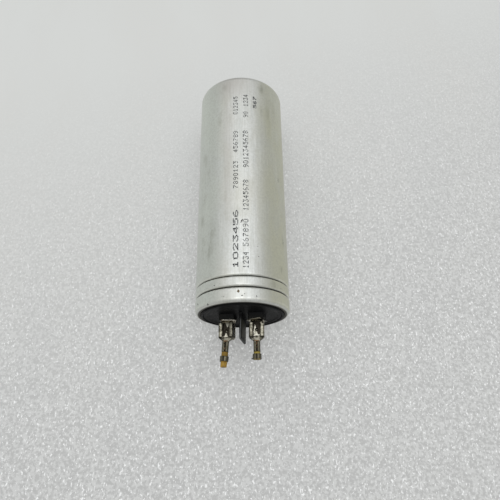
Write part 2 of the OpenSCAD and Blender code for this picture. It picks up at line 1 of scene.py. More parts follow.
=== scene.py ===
# %% [markdown]
# # A film capacitor in an aluminium can
#
# A motor capacitor is a roll of metallised film sealed in a drawn aluminium can. Two beads are rolled
# into the wall near its open end: the cover seats on the upper one, and the lower one can stretch and
# pull the leads off if the roll fails. The rim is rolled over a black rubber gasket, and a moulded
# cover carries two double tab terminals with a barrier between them. On the front tab of each there is
# still a crimped receptacle with a short end of wire.
#
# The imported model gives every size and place. This lesson dresses it: it rebuilds the outer pieces with
# softer edges, and gives each one a finish with grain, wear and dirt.

# %% Tools
import math

import bmesh
import bpy
import numpy as np
from mathutils import Matrix, Vector


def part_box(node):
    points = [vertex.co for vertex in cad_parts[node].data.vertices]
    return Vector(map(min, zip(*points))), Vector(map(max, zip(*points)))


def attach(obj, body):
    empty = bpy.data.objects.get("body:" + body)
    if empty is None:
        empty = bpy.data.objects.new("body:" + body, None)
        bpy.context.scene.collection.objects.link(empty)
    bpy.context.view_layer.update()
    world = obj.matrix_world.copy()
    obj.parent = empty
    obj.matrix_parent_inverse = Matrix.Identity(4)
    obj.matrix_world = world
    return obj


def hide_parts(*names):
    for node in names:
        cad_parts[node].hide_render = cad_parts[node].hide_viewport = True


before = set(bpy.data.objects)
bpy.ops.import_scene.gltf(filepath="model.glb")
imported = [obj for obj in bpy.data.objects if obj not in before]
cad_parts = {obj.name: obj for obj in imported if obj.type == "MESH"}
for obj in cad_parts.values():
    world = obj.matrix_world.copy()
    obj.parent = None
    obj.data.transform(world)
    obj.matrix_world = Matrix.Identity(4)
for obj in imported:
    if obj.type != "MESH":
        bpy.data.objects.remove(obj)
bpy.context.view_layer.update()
MM = 0.001
rng = np.random.default_rng(7)

print("nodes:", len(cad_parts))

# %% [markdown]
# ## Sizes
#
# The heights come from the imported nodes, so that the dressed pieces meet their neighbours. What a box
# can't tell, such as a bead's depth or the thickness of the sheet, is named here in millimetres. In the
# names R is a radius, D a diameter, T a thickness, W a width, H a height and L a length, and Z is a place
# above the closed end.

# %% Sizes in millimetres
def box_mm(node):
    """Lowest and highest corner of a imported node, in millimetres."""
    low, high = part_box(node)
    return np.array(low) / MM, np.array(high) / MM


CAN_R = 25.0
CAN_H = box_mm("can")[1][2]
SKIN = 0.05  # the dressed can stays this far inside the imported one
OUT_R = CAN_R - SKIN
WALL = 0.8
EDGE_R = 3.5
BEADS = [CAN_H - 13.4, CAN_H - 7.7]
BEAD_DEPTH = 1.6
BEAD_SLITS = (0.34, 0.52)
SHOULDER_R = 1.0
RIM_R = 2.0
RIM_SWEEP = 112

print("can height:", round(CAN_H, 2), "beads at:", [round(z, 2) for z in BEADS])

# %% [markdown]
# The cover's flange lies under the gasket, and the rim is rolled over both. Inside the rim the deck
# stands a little proud, with a shallow dish in it for the terminals and the barrier.

# %% Sizes of the cover and the gasket
cover_low, cover_high = box_mm("cover")
gasket_low, gasket_high = box_mm("cover_gasket")
FLANGE_Z = cover_low[2]
FLANGE_TOP = gasket_low[2]
FLANGE_R = 24.0
DECK_Z = CAN_H + 0.3
DISH_Z = DECK_Z - 0.4
DECK_R = 20.5
DECK_T = 2.4
SKIRT_R = 18.0
GASKET_R = 20.6
GASKET_TOP = gasket_high[2]
RIM_MOUTH_R = 22.0
BARRIER_HALF = 6.25  # from its middle to its front
BARRIER_TOP = cover_high[2]

print("deck at", round(DECK_Z, 2), "and the barrier's top at", round(BARRIER_TOP, 2))

# %% [markdown]
# A receptacle grips the front tab of its terminal as far as the tip, tapers, bites the strands, and then
# holds the insulation, so the heights along it follow on from each other.

# %% Sizes of the terminals and the receptacles
PAD_Z = box_mm("left_seat_plate")[0][2]
PAD_X = np.mean([corner[0] for corner in box_mm("left_rivet")])
TAB_W = 6.3
TAB_T = 0.8
TAB_OFFSET = 3.2
TAB_TIP = box_mm("left_terminal")[1][2]
TERMINAL_TURN = 3.0
SHEET = 0.4
MOUTH_Z = box_mm("left_receptacle")[0][2]
TAPER_Z = TAB_TIP + 0.2
CRIMP_Z = TAPER_Z + 2.2
CRIMP_END = CRIMP_Z + 5.2
CRIMP_W = 3.4
CRIMP_H = 2.3
CLAMP_L = 2.6
WIRE_D = 3.4
STRANDS_D = 1.9

print("pads at height", round(PAD_Z, 2), "and", round(PAD_X, 2), "either side; tips at", round(TAB_TIP, 2))

# %% [markdown]
# ## Making meshes
#
# Each piece is worked out as whole arrays of points and handed to Blender in one go. A shape here is a
# pair: its points in millimetres and its faces as lists of point numbers. Three kinds are enough: a
# section turned about an axis, rounded outlines stacked along Z, and bent sheet carried along Z.

# %% An object, and an arc
def placed(name, mesh, smooth_angle):
    """A new object for a mesh, smooth apart from the edges that are sharper than the angle."""
    mesh.polygons.foreach_set("use_smooth", np.ones(len(mesh.polygons), bool))
    mesh.set_sharp_from_angle(angle=math.radians(smooth_angle))
    thing = bpy.data.objects.new(name, mesh)
    bpy.context.scene.collection.objects.link(thing)
    return thing


def make_object(name, points, faces, smooth_angle=40):
    """A mesh object from points in millimetres and faces."""
    mesh = bpy.data.meshes.new(name)
    mesh.from_pydata((np.asarray(points, float) * MM).tolist(), [], faces)
    mesh.validate()
    mesh.update()
    return placed(name, mesh, smooth_angle)


def arc(centre, radius, start, end, count):
    """Points on a circle about the centre, from one angle in degrees to another."""
    angle = np.radians(np.linspace(start, end, count))
    return np.stack([centre[0] + radius * np.cos(angle), centre[1] + radius * np.sin(angle)], 1)

# %% [markdown]
# The can, the deck and the gasket are round, so each is a section turned about Z. Its points make a grid,
# with a row for each point of the section and a column for each step round, and four neighbours in the
# grid are the corners of a face.

# %% Grids and turned sections
def quads(rows, columns, turn_rows=False):
    """Faces of a grid of points whose columns close into a ring, as four point numbers each; they face
    outwards where the rows climb and the columns turn from X to Y. The rows may close into a ring too."""
    r = np.arange(rows if turn_rows else rows - 1)[:, None]
    c = np.arange(columns)[None, :]
    up = (r + 1) % rows
    right = (c + 1) % columns
    corners = [r * columns + c, r * columns + right, up * columns + right, up * columns + c]
    return np.stack([np.broadcast_to(k, (len(r), columns)) for k in corners], -1).reshape(-1, 4)


def turned(section, count=360, closed=False):
    """A section of (radius, height) turned about Z: radius * cos, radius * sin, height. An open section
    runs from the axis to the axis, where its first and last points become poles."""
    section = np.asarray(section, float)
    angle = np.linspace(0, 2 * np.pi, count, endpoint=False)
    ring = section if closed else section[1:-1]
    heights = np.broadcast_to(ring[:, 1:], (len(ring), count))
    points = np.stack([ring[:, :1] * np.cos(angle), ring[:, :1] * np.sin(angle), heights], -1).reshape(-1, 3)
    faces = quads(len(ring), count, turn_rows=closed).tolist()
    if not closed:
        first, last = len(points), len(points) + 1
        points = np.vstack([points, [0, 0, section[0, 1]], [0, 0, section[-1, 1]]])
        k = np.arange(count)
        n = (k + 1) % count
        top = (len(ring) - 1) * count
        faces += np.stack([np.full(count, first), n, k], 1).tolist()
        faces += np.stack([np.full(count, last), top + k, top + n], 1).tolist()
    return points, faces

# %% [markdown]
# ## Finishes
#
# Every finish is a Principled shader fed by shared node groups, such as long axial streaks, soft patches
# and fine grain. Object coordinates are in metres from the middle of the closed end, so the groups scale
# them by hundreds.

# %% Nodes, groups and noise
def feed(socket, value):
    """Links a node's input to another's output, or sets it where the value is a number or a colour."""
    if isinstance(value, bpy.types.NodeSocket):
        socket.id_data.links.new(value, socket)
    else:
        socket.default_value = (*value, 1.0) if socket.type == "RGBA" else value


def new_node(tree, kind, feeds):
    """A new shader node of a kind, with its inputs fed. The keys are the inputs' names or numbers."""
    node = tree.nodes.new("ShaderNode" + kind)
    for key, value in feeds.items():
        feed(node.inputs[key], value)
    return node


def new_group(name, inputs, outputs):
    """A node group with named inputs and outputs, each a "Vector", a "Color" or a "Float". Gives the
    group, the sockets that bring its inputs in and the sockets that take its outputs."""
    group = bpy.data.node_groups.new(name, "ShaderNodeTree")
    for way, sockets in (("INPUT", inputs), ("OUTPUT", outputs)):
        for socket, kind in sockets.items():
            group.interface.new_socket(socket, in_out=way, socket_type="NodeSocket" + kind)
    return group, group.nodes.new("NodeGroupInput").outputs, group.nodes.new("NodeGroupOutput").inputs


def noise(vector, scale, detail=4.0, roughness=0.55):
    """A noise texture's value. A socket knows its tree, so no helper here has to be told."""
    feeds = {"Vector": vector, "Scale": scale, "Detail": detail, "Roughness": roughness}
    return new_node(vector.id_data, "TexNoise", feeds).outputs["Fac"]


def stretched(vector, scale):
    """The vector scaled apart along each axis."""
    return new_node(vector.id_data, "Mapping", {"Vector": vector, "Scale": scale}).outputs["Vector"]


def part_of(vector, axis):
    """One coordinate of a vector: "X", "Y" or "Z"."""
    return new_node(vector.id_data, "SeparateXYZ", {0: vector}).outputs[axis]

# %% [markdown]
# A texture's value is seldom used as it is. It is taken to another range, added to or multiplied, and
# then it says how far a place goes from one colour to another, or how high it stands.

# %% Values, colours and bumps
def span(value, low, high, to_low=0.0, to_high=1.0):
    """A value taken from one range to another, softly near its ends and held past them."""
    feeds = {"Value": value, "From Min": low, "From Max": high, "To Min": to_low, "To Max": to_high}
    node = new_node(value.id_data, "MapRange", feeds)
    node.interpolation_type = "SMOOTHSTEP"
    return node.outputs["Result"]


def maths(operation, a, b=0.0):
    """One arithmetic step on two values; b may be a number."""
    node = new_node(a.id_data, "Math", {0: a, 1: b})
    node.operation = operation
    return node.outputs[0]


def times(a, b):
    """a * b"""
    return maths("MULTIPLY", a, b)


def plus(a, b):
    """a + b"""
    return maths("ADD", a, b)


def larger(a, b):
    """The larger of a and b."""
    return maths("MAXIMUM", a, b)


def blend(share, first, second):
    """first + share * (second - first), where each is a colour or a socket."""
    node = new_node(share.id_data, "Mix", {"Factor": share})
    node.data_type = "RGBA"
    ends = [socket for socket in node.inputs if socket.type == "RGBA"]
    feed(ends[0], first)
    feed(ends[1], second)
    return [socket for socket in node.outputs if socket.type == "RGBA"][0]


def bump(height, strength, distance):
    """A normal raised by a height field; the distance is in millimetres."""
    feeds = {"Height": height, "Strength": strength, "Distance": distance * MM}
    return new_node(height.id_data, "Bump", feeds).outputs["Normal"]

# %% [markdown]
# A finish keeps a material's parts at hand: its shader, whose sockets are set or fed by name, and its
# object coordinates, which go to every group in it that takes a vector.

# %% A finish
class Finish:
    """A material with its Principled shader and its object coordinates at hand."""

    def __init__(self, name, metallic=0.0, roughness=0.5):
        """A new material of that name, with these two set on its shader."""
        self.material = bpy.data.materials.new(name)
        self.material.use_nodes = True
        self.tree = self.material.node_tree
        self.shader = self.tree.nodes["Principled BSDF"]
        self.set("Metallic", metallic)
        self.set("Roughness", roughness)
        self.vector = self.tree.nodes.new("ShaderNodeTexCoord").outputs["Object"]
        print("finish:", name)

    def set(self, socket, value):
        """Feeds one of the shader's sockets, or sets it where the value is a number."""
        feed(self.shader.inputs[socket], value)

    def group(self, group, **values):
        """A shared group's outputs, from a copy placed in this material with its own values."""
        node = self.tree.nodes.new("ShaderNodeGroup")
        node.node_tree = group
        if "Vector" in node.inputs:
            feed(node.inputs["Vector"], self.vector)
        for key, value in values.items():
            feed(node.inputs[key], value)
        return node.outputs

    def attribute(self, name):
        """A number painted on the mesh's points."""
        node = self.tree.nodes.new("ShaderNodeAttribute")
        node.attribute_name = name
        return node.outputs["Fac"]

    def put_on(self, thing):
        """Makes this the only material of an object."""
        thing.data.materials.clear()
        thing.data.materials.append(self.material)

# %% [markdown]
# ### Shared groups
#
# A drawn can carries fine lines along its axis from the die, and handling leaves soft cloudy patches.
# Moulded and stamped pieces have fine grain instead. Convex edges are rubbed on tin, rubber and vinyl
# alike, and Pointiness tells how far a place is out on one.

# %% Axial streaks, soft patches, grain, edge wear
PLACE = {"Vector": "Vector"}

streaks, into, out = new_group("Axial streaks", PLACE, {"Fine": "Float", "Broad": "Float"})
feed(out["Fine"], noise(stretched(into["Vector"], (1, 1, 0.025)), 2600, 3))
feed(out["Broad"], noise(stretched(into["Vector"], (1, 1, 0.06)), 420, 4))

patches, into, out = new_group("Soft patches", PLACE, {"Large": "Float", "Small": "Float"})
tall = stretched(into["Vector"], (1, 1, 0.45))
feed(out["Large"], noise(tall, 55, 5, 0.6))
feed(out["Small"], noise(tall, 230, 6, 0.65))

grain, into, out = new_group("Grain", PLACE, {"Fine": "Float", "Coarse": "Float"})
feed(out["Fine"], noise(into["Vector"], 5200, 3))
feed(out["Coarse"], noise(into["Vector"], 900, 5))

edge_wear, into, out = new_group("Edge wear", {"Amount": "Float"}, {"Share": "Float"})
sharp = new_node(edge_wear, "NewGeometry", {}).outputs["Pointiness"]
feed(out["Share"], times(span(sharp, 0.51, 0.58), into["Amount"]))

print("groups:", [g.name for g in bpy.data.node_groups])

# %% [markdown]
# ### Aluminium
#
# Bare aluminium that has been drawn, rolled and handled: satin, with axial lines, cloudy grey patches
# and a yellowish film in places. Where it is stained or polished depends on the place on the can, and so
# does the painted light: shade in the slits, at the rim's lip, at the foot and up a band of the front,
# highlights with the polish, and a reflection tint on each side. The mesh carries those as numbers on
# its points, and each one lays a colour over the last.

# %% Drawn aluminium
aluminium = Finish("Drawn aluminium", metallic=1.0)
line, cloud, fine = aluminium.group(streaks), aluminium.group(patches), aluminium.group(grain)
bare = blend(span(line["Broad"], 0.2, 0.8), (0.635, 0.65, 0.625), (0.735, 0.745, 0.725))
lined = blend(span(line["Fine"], 0.42, 0.62, 0.0, 0.4), bare, (0.54, 0.55, 0.525))
filmed = blend(span(cloud["Large"], 0.44, 0.68, 0.0, 0.7), lined, (0.62, 0.615, 0.56))
cloudy = blend(span(cloud["Small"], 0.5, 0.74, 0.0, 0.4), filmed, (0.53, 0.53, 0.47))
uneven = span(cloud["Large"], 0.35, 0.62, 0.6, 1.0)
# Painted reflections: an olive tint on one side and a cooler, paler one on the other.
olive_reflection = blend(times(aluminium.attribute("olive_reflection"), uneven), cloudy, (0.645, 0.645, 0.52))
cool_reflection = blend(times(aluminium.attribute("cool_reflection"), uneven), olive_reflection, (0.72, 0.755, 0.70))
mottled = blend(span(fine["Coarse"], 0.38, 0.66, 0.0, 0.28), cool_reflection, (0.47, 0.47, 0.42))
blotch = times(aluminium.attribute("stain"), span(cloud["Small"], 0.40, 0.58, 0.15, 1.0))
stained = blend(blotch, mottled, (0.30, 0.305, 0.245))
# Painted highlight: where handling polished the metal, its colour is also made brighter.
rubbed = times(aluminium.attribute("worn"), span(cloud["Small"], 0.36, 0.56, 1.0, 0.35))
polished_and_highlit = blend(rubbed, stained, (0.86, 0.86, 0.78))
# Painted shade: the foot and a narrow band up the front are darkened.
dulled = times(aluminium.attribute("dull"), span(cloud["Large"], 0.3, 0.6, 0.75, 1))
shaded_foot_and_band = blend(dulled, polished_and_highlit, (0.49, 0.475, 0.445))
# Painted shade: the slits and the rim's lip are darkened, as shade falls there.
crevice_shaded = blend(aluminium.attribute("crevice_shade"), shaded_foot_and_band, (0.06, 0.055, 0.045))
aluminium.set("Base Color", crevice_shaded)
rough = plus(span(line["Fine"], 0.3, 0.7, 0.40, 0.49), span(cloud["Small"], 0.4, 0.7, 0.0, 0.08))
for place, more in [(rubbed, -0.16), (dulled, 0.05), (aluminium.attribute("crevice_shade"), 0.3)]:
    rough = plus(rough, times(place, more))
aluminium.set("Roughness", rough)
aluminium.set("Normal", bump(line["Fine"], 0.35, 0.012))

# %% [markdown]
# ### Ink and specks
#
# The print on the can is dot-matrix ink: small dark dots, a little washed out in places. The dirt is
# dark specks and one brown spot. All of this lies on the can as separate pieces, so it needs no masks.

# %% Ink, dark specks, brown spot
ink = Finish("Worn ink", roughness=0.6)
worn = span(ink.group(patches)["Small"], 0.35, 0.7)
ink.set("Base Color", blend(worn, (0.028, 0.030, 0.032), (0.12, 0.125, 0.125)))

speck = Finish("Dark specks", roughness=0.7)
speck.set("Base Color", blend(speck.group(grain)["Coarse"], (0.015, 0.012, 0.01), (0.07, 0.06, 0.05)))

brown = Finish("Brown spot", roughness=0.55)
brown.set("Base Color", blend(brown.group(grain)["Coarse"], (0.06, 0.042, 0.018), (0.23, 0.17, 0.095)))

# %% [markdown]
# ### Plastic and rubber
#
# The cover is a black moulding with a fine grain and a thin coat of grey dust. Its edges are worn pale
# and one side of the barrier is scuffed, which the mesh carries as numbers. A pale line down the middle
# of the barrier's front is a painted highlight, the glint of its rounded edge, on a line too thin for
# the mesh's points. The gasket is blacker.

# %% Black moulding, rubber
moulding = Finish("Black moulding")
fine, cloud = moulding.group(grain), moulding.group(patches)
dusty = times(span(cloud["Large"], 0.5, 0.7), span(fine["Coarse"], 0.35, 0.65))
aged = blend(dusty, (0.0058, 0.0059, 0.0064), (0.013, 0.013, 0.0126))
scuffed = blend(moulding.attribute("scuffed"), aged, (0.040, 0.040, 0.029))
off_middle = part_of(moulding.vector, "X")
ridge = span(times(off_middle, off_middle), (0.12 * MM) ** 2, (0.34 * MM) ** 2, 1, 0)
front = span(part_of(moulding.vector, "Y"), (0.25 - BARRIER_HALF) * MM, (0.5 - BARRIER_HALF) * MM, 1, 0)
above_dish = span(part_of(moulding.vector, "Z"), (DISH_Z + 2.1) * MM, (DISH_Z + 5.1) * MM)
# Painted highlight: a thin pale line down the barrier's front stands for the glint of its rounded edge.
ridge_highlight = times(times(ridge, times(front, above_dish)), span(fine["Coarse"], 0.3, 0.6, 0.35, 0.5))
worn_edge_and_highlight = larger(moulding.attribute("worn"), ridge_highlight)
moulding.set("Base Color", blend(worn_edge_and_highlight, scuffed, (0.19, 0.195, 0.19)))
moulding.set("Roughness", span(fine["Coarse"], 0.3, 0.7, 0.40, 0.58))
moulding.set("Normal", bump(fine["Fine"], 0.3, 0.03))
moulding.set("Specular IOR Level", 0.075)

rubber = Finish("Black rubber")
fine, cloud = rubber.group(grain), rubber.group(patches)
chalky = blend(span(cloud["Small"], 0.5, 0.8), (0.002, 0.002, 0.002), (0.008, 0.008, 0.0075))
rubbed = rubber.group(edge_wear, Amount=0.4)["Share"]
rubber.set("Base Color", blend(rubbed, chalky, (0.03, 0.03, 0.029)))
rubber.set("Roughness", span(fine["Coarse"], 0.3, 0.7, 0.45, 0.65))
rubber.set("Normal", bump(fine["Coarse"], 0.25, 0.04))
rubber.set("Specular IOR Level", 0.12)

# %% [markdown]
# ### Tinned sheet
#
# Terminals and receptacles are tinned brass or steel: bright where they rub, warm grey where the tin has
# dulled, and brown to black where the tarnish has gone furthest. One group serves them all, and each
# material gives it its own colours and its own share of tarnish.

# %% The tin group
TIN_INPUTS = dict.fromkeys(["Clouds", "Grain", "Worn", "Tarnish"], "Float")
TIN_INPUTS.update(dict.fromkeys(["Bright", "Dull", "Rubbed"], "Color"))
tin, into, out = new_group("Tin", TIN_INPUTS, {"Colour": "Color", "Black": "Float", "Roughness": "Float"})
dulled = blend(span(into["Grain"], 0.38, 0.64), into["Bright"], into["Dull"])
spots = plus(into["Clouds"], times(into["Grain"], 0.35))
black = span(plus(spots, times(into["Tarnish"], -1.0)), 0.17, 0.27)
feed(out["Colour"], blend(into["Worn"], dulled, into["Rubbed"]))
feed(out["Black"], black)
feed(out["Roughness"], plus(span(into["Grain"], 0.3, 0.7, 0.24, 0.4), times(black, 0.2)))
print("the tin group takes", list(TIN_INPUTS))

# %% [markdown]
# The rivets and the left plate are still fairly clean. The plate under the right terminal is painted
# near-black at its outer corner.

# %% Tinned plates and rivets
def tinned(name, bright, dull, dark, tarnish):
    """Tinned sheet that dulls with the grain and blackens in patches: the lower the tarnish threshold,
    the more of it is dark. Gives the finish, its colour and its share of black, to be added to."""
    made = Finish(name, metallic=1.0)
    fine = made.group(grain)["Coarse"]
    sheet = made.group(
        tin, Clouds=made.group(patches)["Small"], Grain=fine, Tarnish=tarnish, Bright=bright, Dull=dull,
        Worn=made.group(edge_wear, Amount=span(fine, 0.35, 0.65, 0.8, 0.2))["Share"],
        Rubbed=[min(1.0, 1.25 * c) for c in bright],
    )
    made.set("Base Color", blend(sheet["Black"], sheet["Colour"], dark))
    made.set("Roughness", sheet["Roughness"])
    made.set("Normal", bump(fine, 0.3, 0.05))
    return made, sheet["Colour"], sheet["Black"]


plates = tinned("Tinned plates", (0.70, 0.66, 0.57), (0.48, 0.43, 0.34), (0.17, 0.12, 0.08), 0.56)[0]
heads = tinned("Rivet metal", (0.66, 0.64, 0.60), (0.46, 0.45, 0.42), (0.18, 0.15, 0.12), 0.56)[0]

dark_cornered, dulled, black = tinned("Dark cornered plate", (0.62, 0.58, 0.47), (0.42, 0.37, 0.28), (0.15, 0.11, 0.07), 0.54)
# The right plate's outer corner is painted near-black.
outer_corner = span(part_of(dark_cornered.vector, "X"), -(PAD_X + 3.95) * MM, -(PAD_X + 2.95) * MM, 0.97, 0.0)
dark_cornered.set("Base Color", blend(larger(outer_corner, black), dulled, (0.012, 0.011, 0.010)))

# %% [markdown]
# The front of each tab, between the rolls, has its own dark patch: partly tarnish and partly painted
# shade from the rolls, reaching up from the root, with a bright wedge left in it. Each patch ends at a
# line with a point in it, and a place is past that line by its height over the point + slope * its
# distance to the side.

# %% Stained and shaded tabs
LINE_INPUTS = {"Vector": "Vector", "Point": "Vector", "Slope": "Float"}
pointed_line, into, out = new_group("Pointed line", LINE_INPUTS, {"Past": "Float"})
apart = new_node(pointed_line, "VectorMath", {0: into["Vector"], 1: into["Point"]})
apart.operation = "SUBTRACT"
aside = maths("ABSOLUTE", part_of(apart.outputs["Vector"], "X"))
feed(out["Past"], plus(part_of(apart.outputs["Vector"], "Z"), times(aside, into["Slope"])))


def stained_and_shaded_tab(name, patch_at, patch_slope, wedge_at, wedge_slope):
    """A tinned tab with a dark patch on its front face below one pointed line, partly tarnish and partly
    painted shade, and a bright wedge in it below another. A point is its x on the part and its height past
    the tab's tip, in millimetres."""
    made, dulled, black = tinned(name, (0.52, 0.50, 0.42), (0.27, 0.255, 0.20), (0.085, 0.072, 0.048), 0.53)
    wobble = times(plus(made.group(grain)["Coarse"], -0.5), 0.9 * MM)

    def below(point, slope, soft):
        """1 below a pointed line and 0 above it, with an edge that is soft by so many millimetres."""
        place = (point[0] * MM, 0, (TAB_TIP + point[1]) * MM)
        past = plus(made.group(pointed_line, Point=place, Slope=slope)["Past"], wobble)
        return span(past, -soft * MM, soft * MM, 1.0, 0.0)

    front = span(part_of(made.vector, "Y"), -(TAB_OFFSET + 0.3) * MM, -(TAB_OFFSET + 0.2) * MM, 1.0, 0.0)
    wedge = times(below(wedge_at, wedge_slope, 0.2), -0.75)
    # The dark patch is tarnish and painted shade together.
    stain = times(plus(below(patch_at, patch_slope, 0.25), wedge), front)
    made.set("Base Color", blend(larger(stain, black), dulled, (0.030, 0.026, 0.020)))
    return made


left_tab = stained_and_shaded_tab("Left tab", (PAD_X + 0.25, -2.5), -2.4, (PAD_X - 0.45, -5.0), 2.2)
right_tab = stained_and_shaded_tab("Right tab", (0.6 - PAD_X, -6.0), -4.2, (1.75 - PAD_X, -8.9), 0.5)

# %% [markdown]
# The receptacles use the tarnish and the browning painted on their points. The tarnish also holds
# painted shade: black in the crevices and on the inner sides, where shade falls. The browning is a
# brown cast over the crimps, where heat has worked on the tin.

# %% Receptacle sheet
RECEPTACLE_TIN = (0.55, 0.52, 0.42), (0.20, 0.185, 0.135), (0.05, 0.043, 0.03)
shells, dulled, black = tinned("Tarnished and shaded receptacles", *RECEPTACLE_TIN, 0.56)
browned = blend(times(shells.attribute("browned"), 0.86), dulled, (0.105, 0.095, 0.064))
# The tarnish number is partly painted shade in the crevices and on the inner sides.
tarnish_and_shade = times(shells.attribute("tarnish"), span(shells.group(patches)["Small"], 0.3, 0.6, 0.75, 1.0))
shells.set("Base Color", blend(larger(tarnish_and_shade, black), browned, (0.020, 0.017, 0.013)))

# %% [markdown]
# ### Wires
#
# Soft vinyl that has aged and browned, ochre on the left wire and yellow on the right one, over copper
# strands that have gone brown. The end next to each crimp is painted darker, as shade near the ears.

# %% Insulation, strands
VINYL_INPUTS = {"Vector": "Vector", "Grain": "Float", "Low": "Float", "High": "Float"}
VINYL_INPUTS.update(dict.fromkeys(["Clean", "Aged", "Scorched"], "Color"))
shade_near_crimp, into, out = new_group("Scorched vinyl", VINYL_INPUTS, {"Colour": "Color"})
tone = blend(span(into["Grain"], 0.35, 0.7), into["Clean"], into["Aged"])
# Painted shade: darker from the crimp's end into the ears.
shade_share = span(part_of(into["Vector"], "Z"), into["Low"], into["High"], 1.0, 0.0)
feed(out["Colour"], blend(shade_share, tone, into["Scorched"]))


def vinyl(name, clean, aged, shaded, low, high):
    """Aged vinyl insulation that wanders between two colours, with painted shade in full below the low
    height and none above the high one, which are given in millimetres past the crimp's end."""
    made = Finish(name, roughness=0.5)
    coarse = made.group(grain)["Coarse"]
    heights = {"Low": (CRIMP_END + low) * MM, "High": (CRIMP_END + high) * MM}
    tone = made.group(shade_near_crimp, Grain=coarse, Clean=clean, Aged=aged, Scorched=shaded, **heights)["Colour"]
    rubbed = made.group(edge_wear, Amount=0.35)["Share"]
    made.set("Base Color", blend(rubbed, tone, [min(1.0, 1.4 * c) for c in clean]))
    made.set("Specular IOR Level", 0.3)
    made.set("Normal", bump(coarse, 0.3, 0.06))
    return made


ochre = vinyl("Ochre vinyl", (0.40, 0.245, 0.032), (0.22, 0.125, 0.018), (0.21, 0.125, 0.013), 3.9, 4.5)
yellow = vinyl("Yellow vinyl", (0.42, 0.32, 0.05), (0.26, 0.18, 0.03), (0.24, 0.185, 0.032), 1.1, 1.5)
copper = tinned("Tarnished copper", (0.26, 0.16, 0.09), (0.15, 0.09, 0.05), (0.05, 0.035, 0.025), 0.52)[0]

# %% [markdown]
# ### Inside
#
# Nothing inside the can shows, but each piece there still has the look of what it is made of: two close
# tones that a group mixes by soft patches.

# %% Finishes of the sealed pieces
TONE_INPUTS = {"Clouds": "Float", "First": "Color", "Second": "Color"}
two_tones, into, out = new_group("Two tones", TONE_INPUTS, {"Colour": "Color"})
feed(out["Colour"], blend(span(into["Clouds"], 0.35, 0.65), into["First"], into["Second"]))


def plain(name, first, second, metallic=0.0, roughness=0.5):
    """A quiet finish that wanders between two colours."""
    made = Finish(name, metallic=metallic, roughness=roughness)
    tones = made.group(two_tones, Clouds=made.group(patches)["Small"], First=first, Second=second)
    made.set("Base Color", tones["Colour"])
    made.set("Normal", bump(made.group(grain)["Coarse"], 0.2, 0.05))
    return made


WHITE, ZINC = (0.80, 0.80, 0.77), (0.42, 0.43, 0.44)
BRASS, COPPER = (0.62, 0.50, 0.27), (0.62, 0.36, 0.20)
INSIDE = {
    "winding": ("Film roll", (0.74, 0.73, 0.70), (0.66, 0.66, 0.65), 0.2, 0.3),
    "core_tube": ("White core", WHITE, (0.72, 0.72, 0.68)),
    "top_spray": ("Sprayed zinc above", ZINC, (0.3, 0.3, 0.31), 0.8, 0.7),
    "bottom_spray": ("Sprayed zinc below", ZINC, (0.3, 0.3, 0.31), 0.8, 0.7),
    "base_cup": ("White cup", WHITE, (0.74, 0.74, 0.70)),
    "liner": ("Liner film", (0.72, 0.66, 0.48), (0.6, 0.54, 0.36), 0.0, 0.35),
    "top_plate": ("White plate", WHITE, (0.74, 0.74, 0.70)),
    "left_solder_lug": ("Left lug brass", BRASS, (0.5, 0.38, 0.2), 1.0, 0.35),
    "right_solder_lug": ("Right lug brass", BRASS, (0.5, 0.38, 0.2), 1.0, 0.35),
    "long_lead": ("Long lead copper", COPPER, (0.5, 0.28, 0.15), 1.0, 0.4),
    "short_lead": ("Short lead copper", COPPER, (0.5, 0.28, 0.15), 1.0, 0.4),
    "lead_sleeve": ("Red sleeve", (0.55, 0.10, 0.07), (0.42, 0.07, 0.05)),
    "solder_joints": ("Dull solder", (0.55, 0.55, 0.54), (0.42, 0.42, 0.41), 1.0, 0.45),
}
for node, look in INSIDE.items():
    plain(*look).put_on(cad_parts[node])

print("finishes of sealed pieces:", len(INSIDE))

# %% [markdown]
# ## The can
#
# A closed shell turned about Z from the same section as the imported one: flat end, rounded edge, straight
# wall, two beads that close to a slit with soft shoulders, and the rim rolled over the gasket. It has far
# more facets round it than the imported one, because satin metal shows them.

# %% A ramp and a bell
def ramp(x, start, end):
    """0 before the start, 1 past the end and straight between; it falls where the end is the lower."""
    return np.clip((x - start) / (end - start), 0, 1)


def bell(x, middle, width):
    """exp(-((x - middle) / width)^2)"""
    return np.exp(-((x - middle) / width) ** 2)

# %% [markdown]
# A bead is pressed in by a roller while the can turns. On both sides of the sheet it is three arcs: a
# shoulder, the half circle at the slit's bottom, and a shoulder again.

# %% Beads
def bead_outside(z, slit):
    """The wall's outside through a bead, going up: a quarter circle, a half one and a quarter one."""
    half = slit / 2
    return np.vstack([
        arc((OUT_R - SHOULDER_R, z - half - SHOULDER_R), SHOULDER_R, 0, 88, 14),
        arc((CAN_R - BEAD_DEPTH + half, z), half, 270, 90, 9),
        arc((OUT_R - SHOULDER_R, z + half + SHOULDER_R), SHOULDER_R, 272, 360, 14),
    ])


def bead_inside(z, slit):
    """The wall's inside through the same bead, going up: the same three arcs, with radii that differ by
    the wall's thickness."""
    nose, fillet = slit / 2 + WALL, SHOULDER_R - WALL
    bore = CAN_R - WALL
    return np.vstack([
        arc((bore - fillet, z - nose - fillet), fillet, 0, 90, 5),
        arc((CAN_R - BEAD_DEPTH + slit / 2, z), nose, 270, 90, 9),
        arc((bore - fillet, z + nose + fillet), fillet, 270, 360, 5),
    ])


def wall(low, high, count):
    """Straight outside wall between two heights."""
    return np.stack([np.full(count, OUT_R), np.linspace(low, high, count)], 1)

# %% [markdown]
# The roller also draws the wall in a little beside each bead and where the rim starts, by the height of
# a bell. The straight wall has many points, so that the numbers painted on them can change gradually.

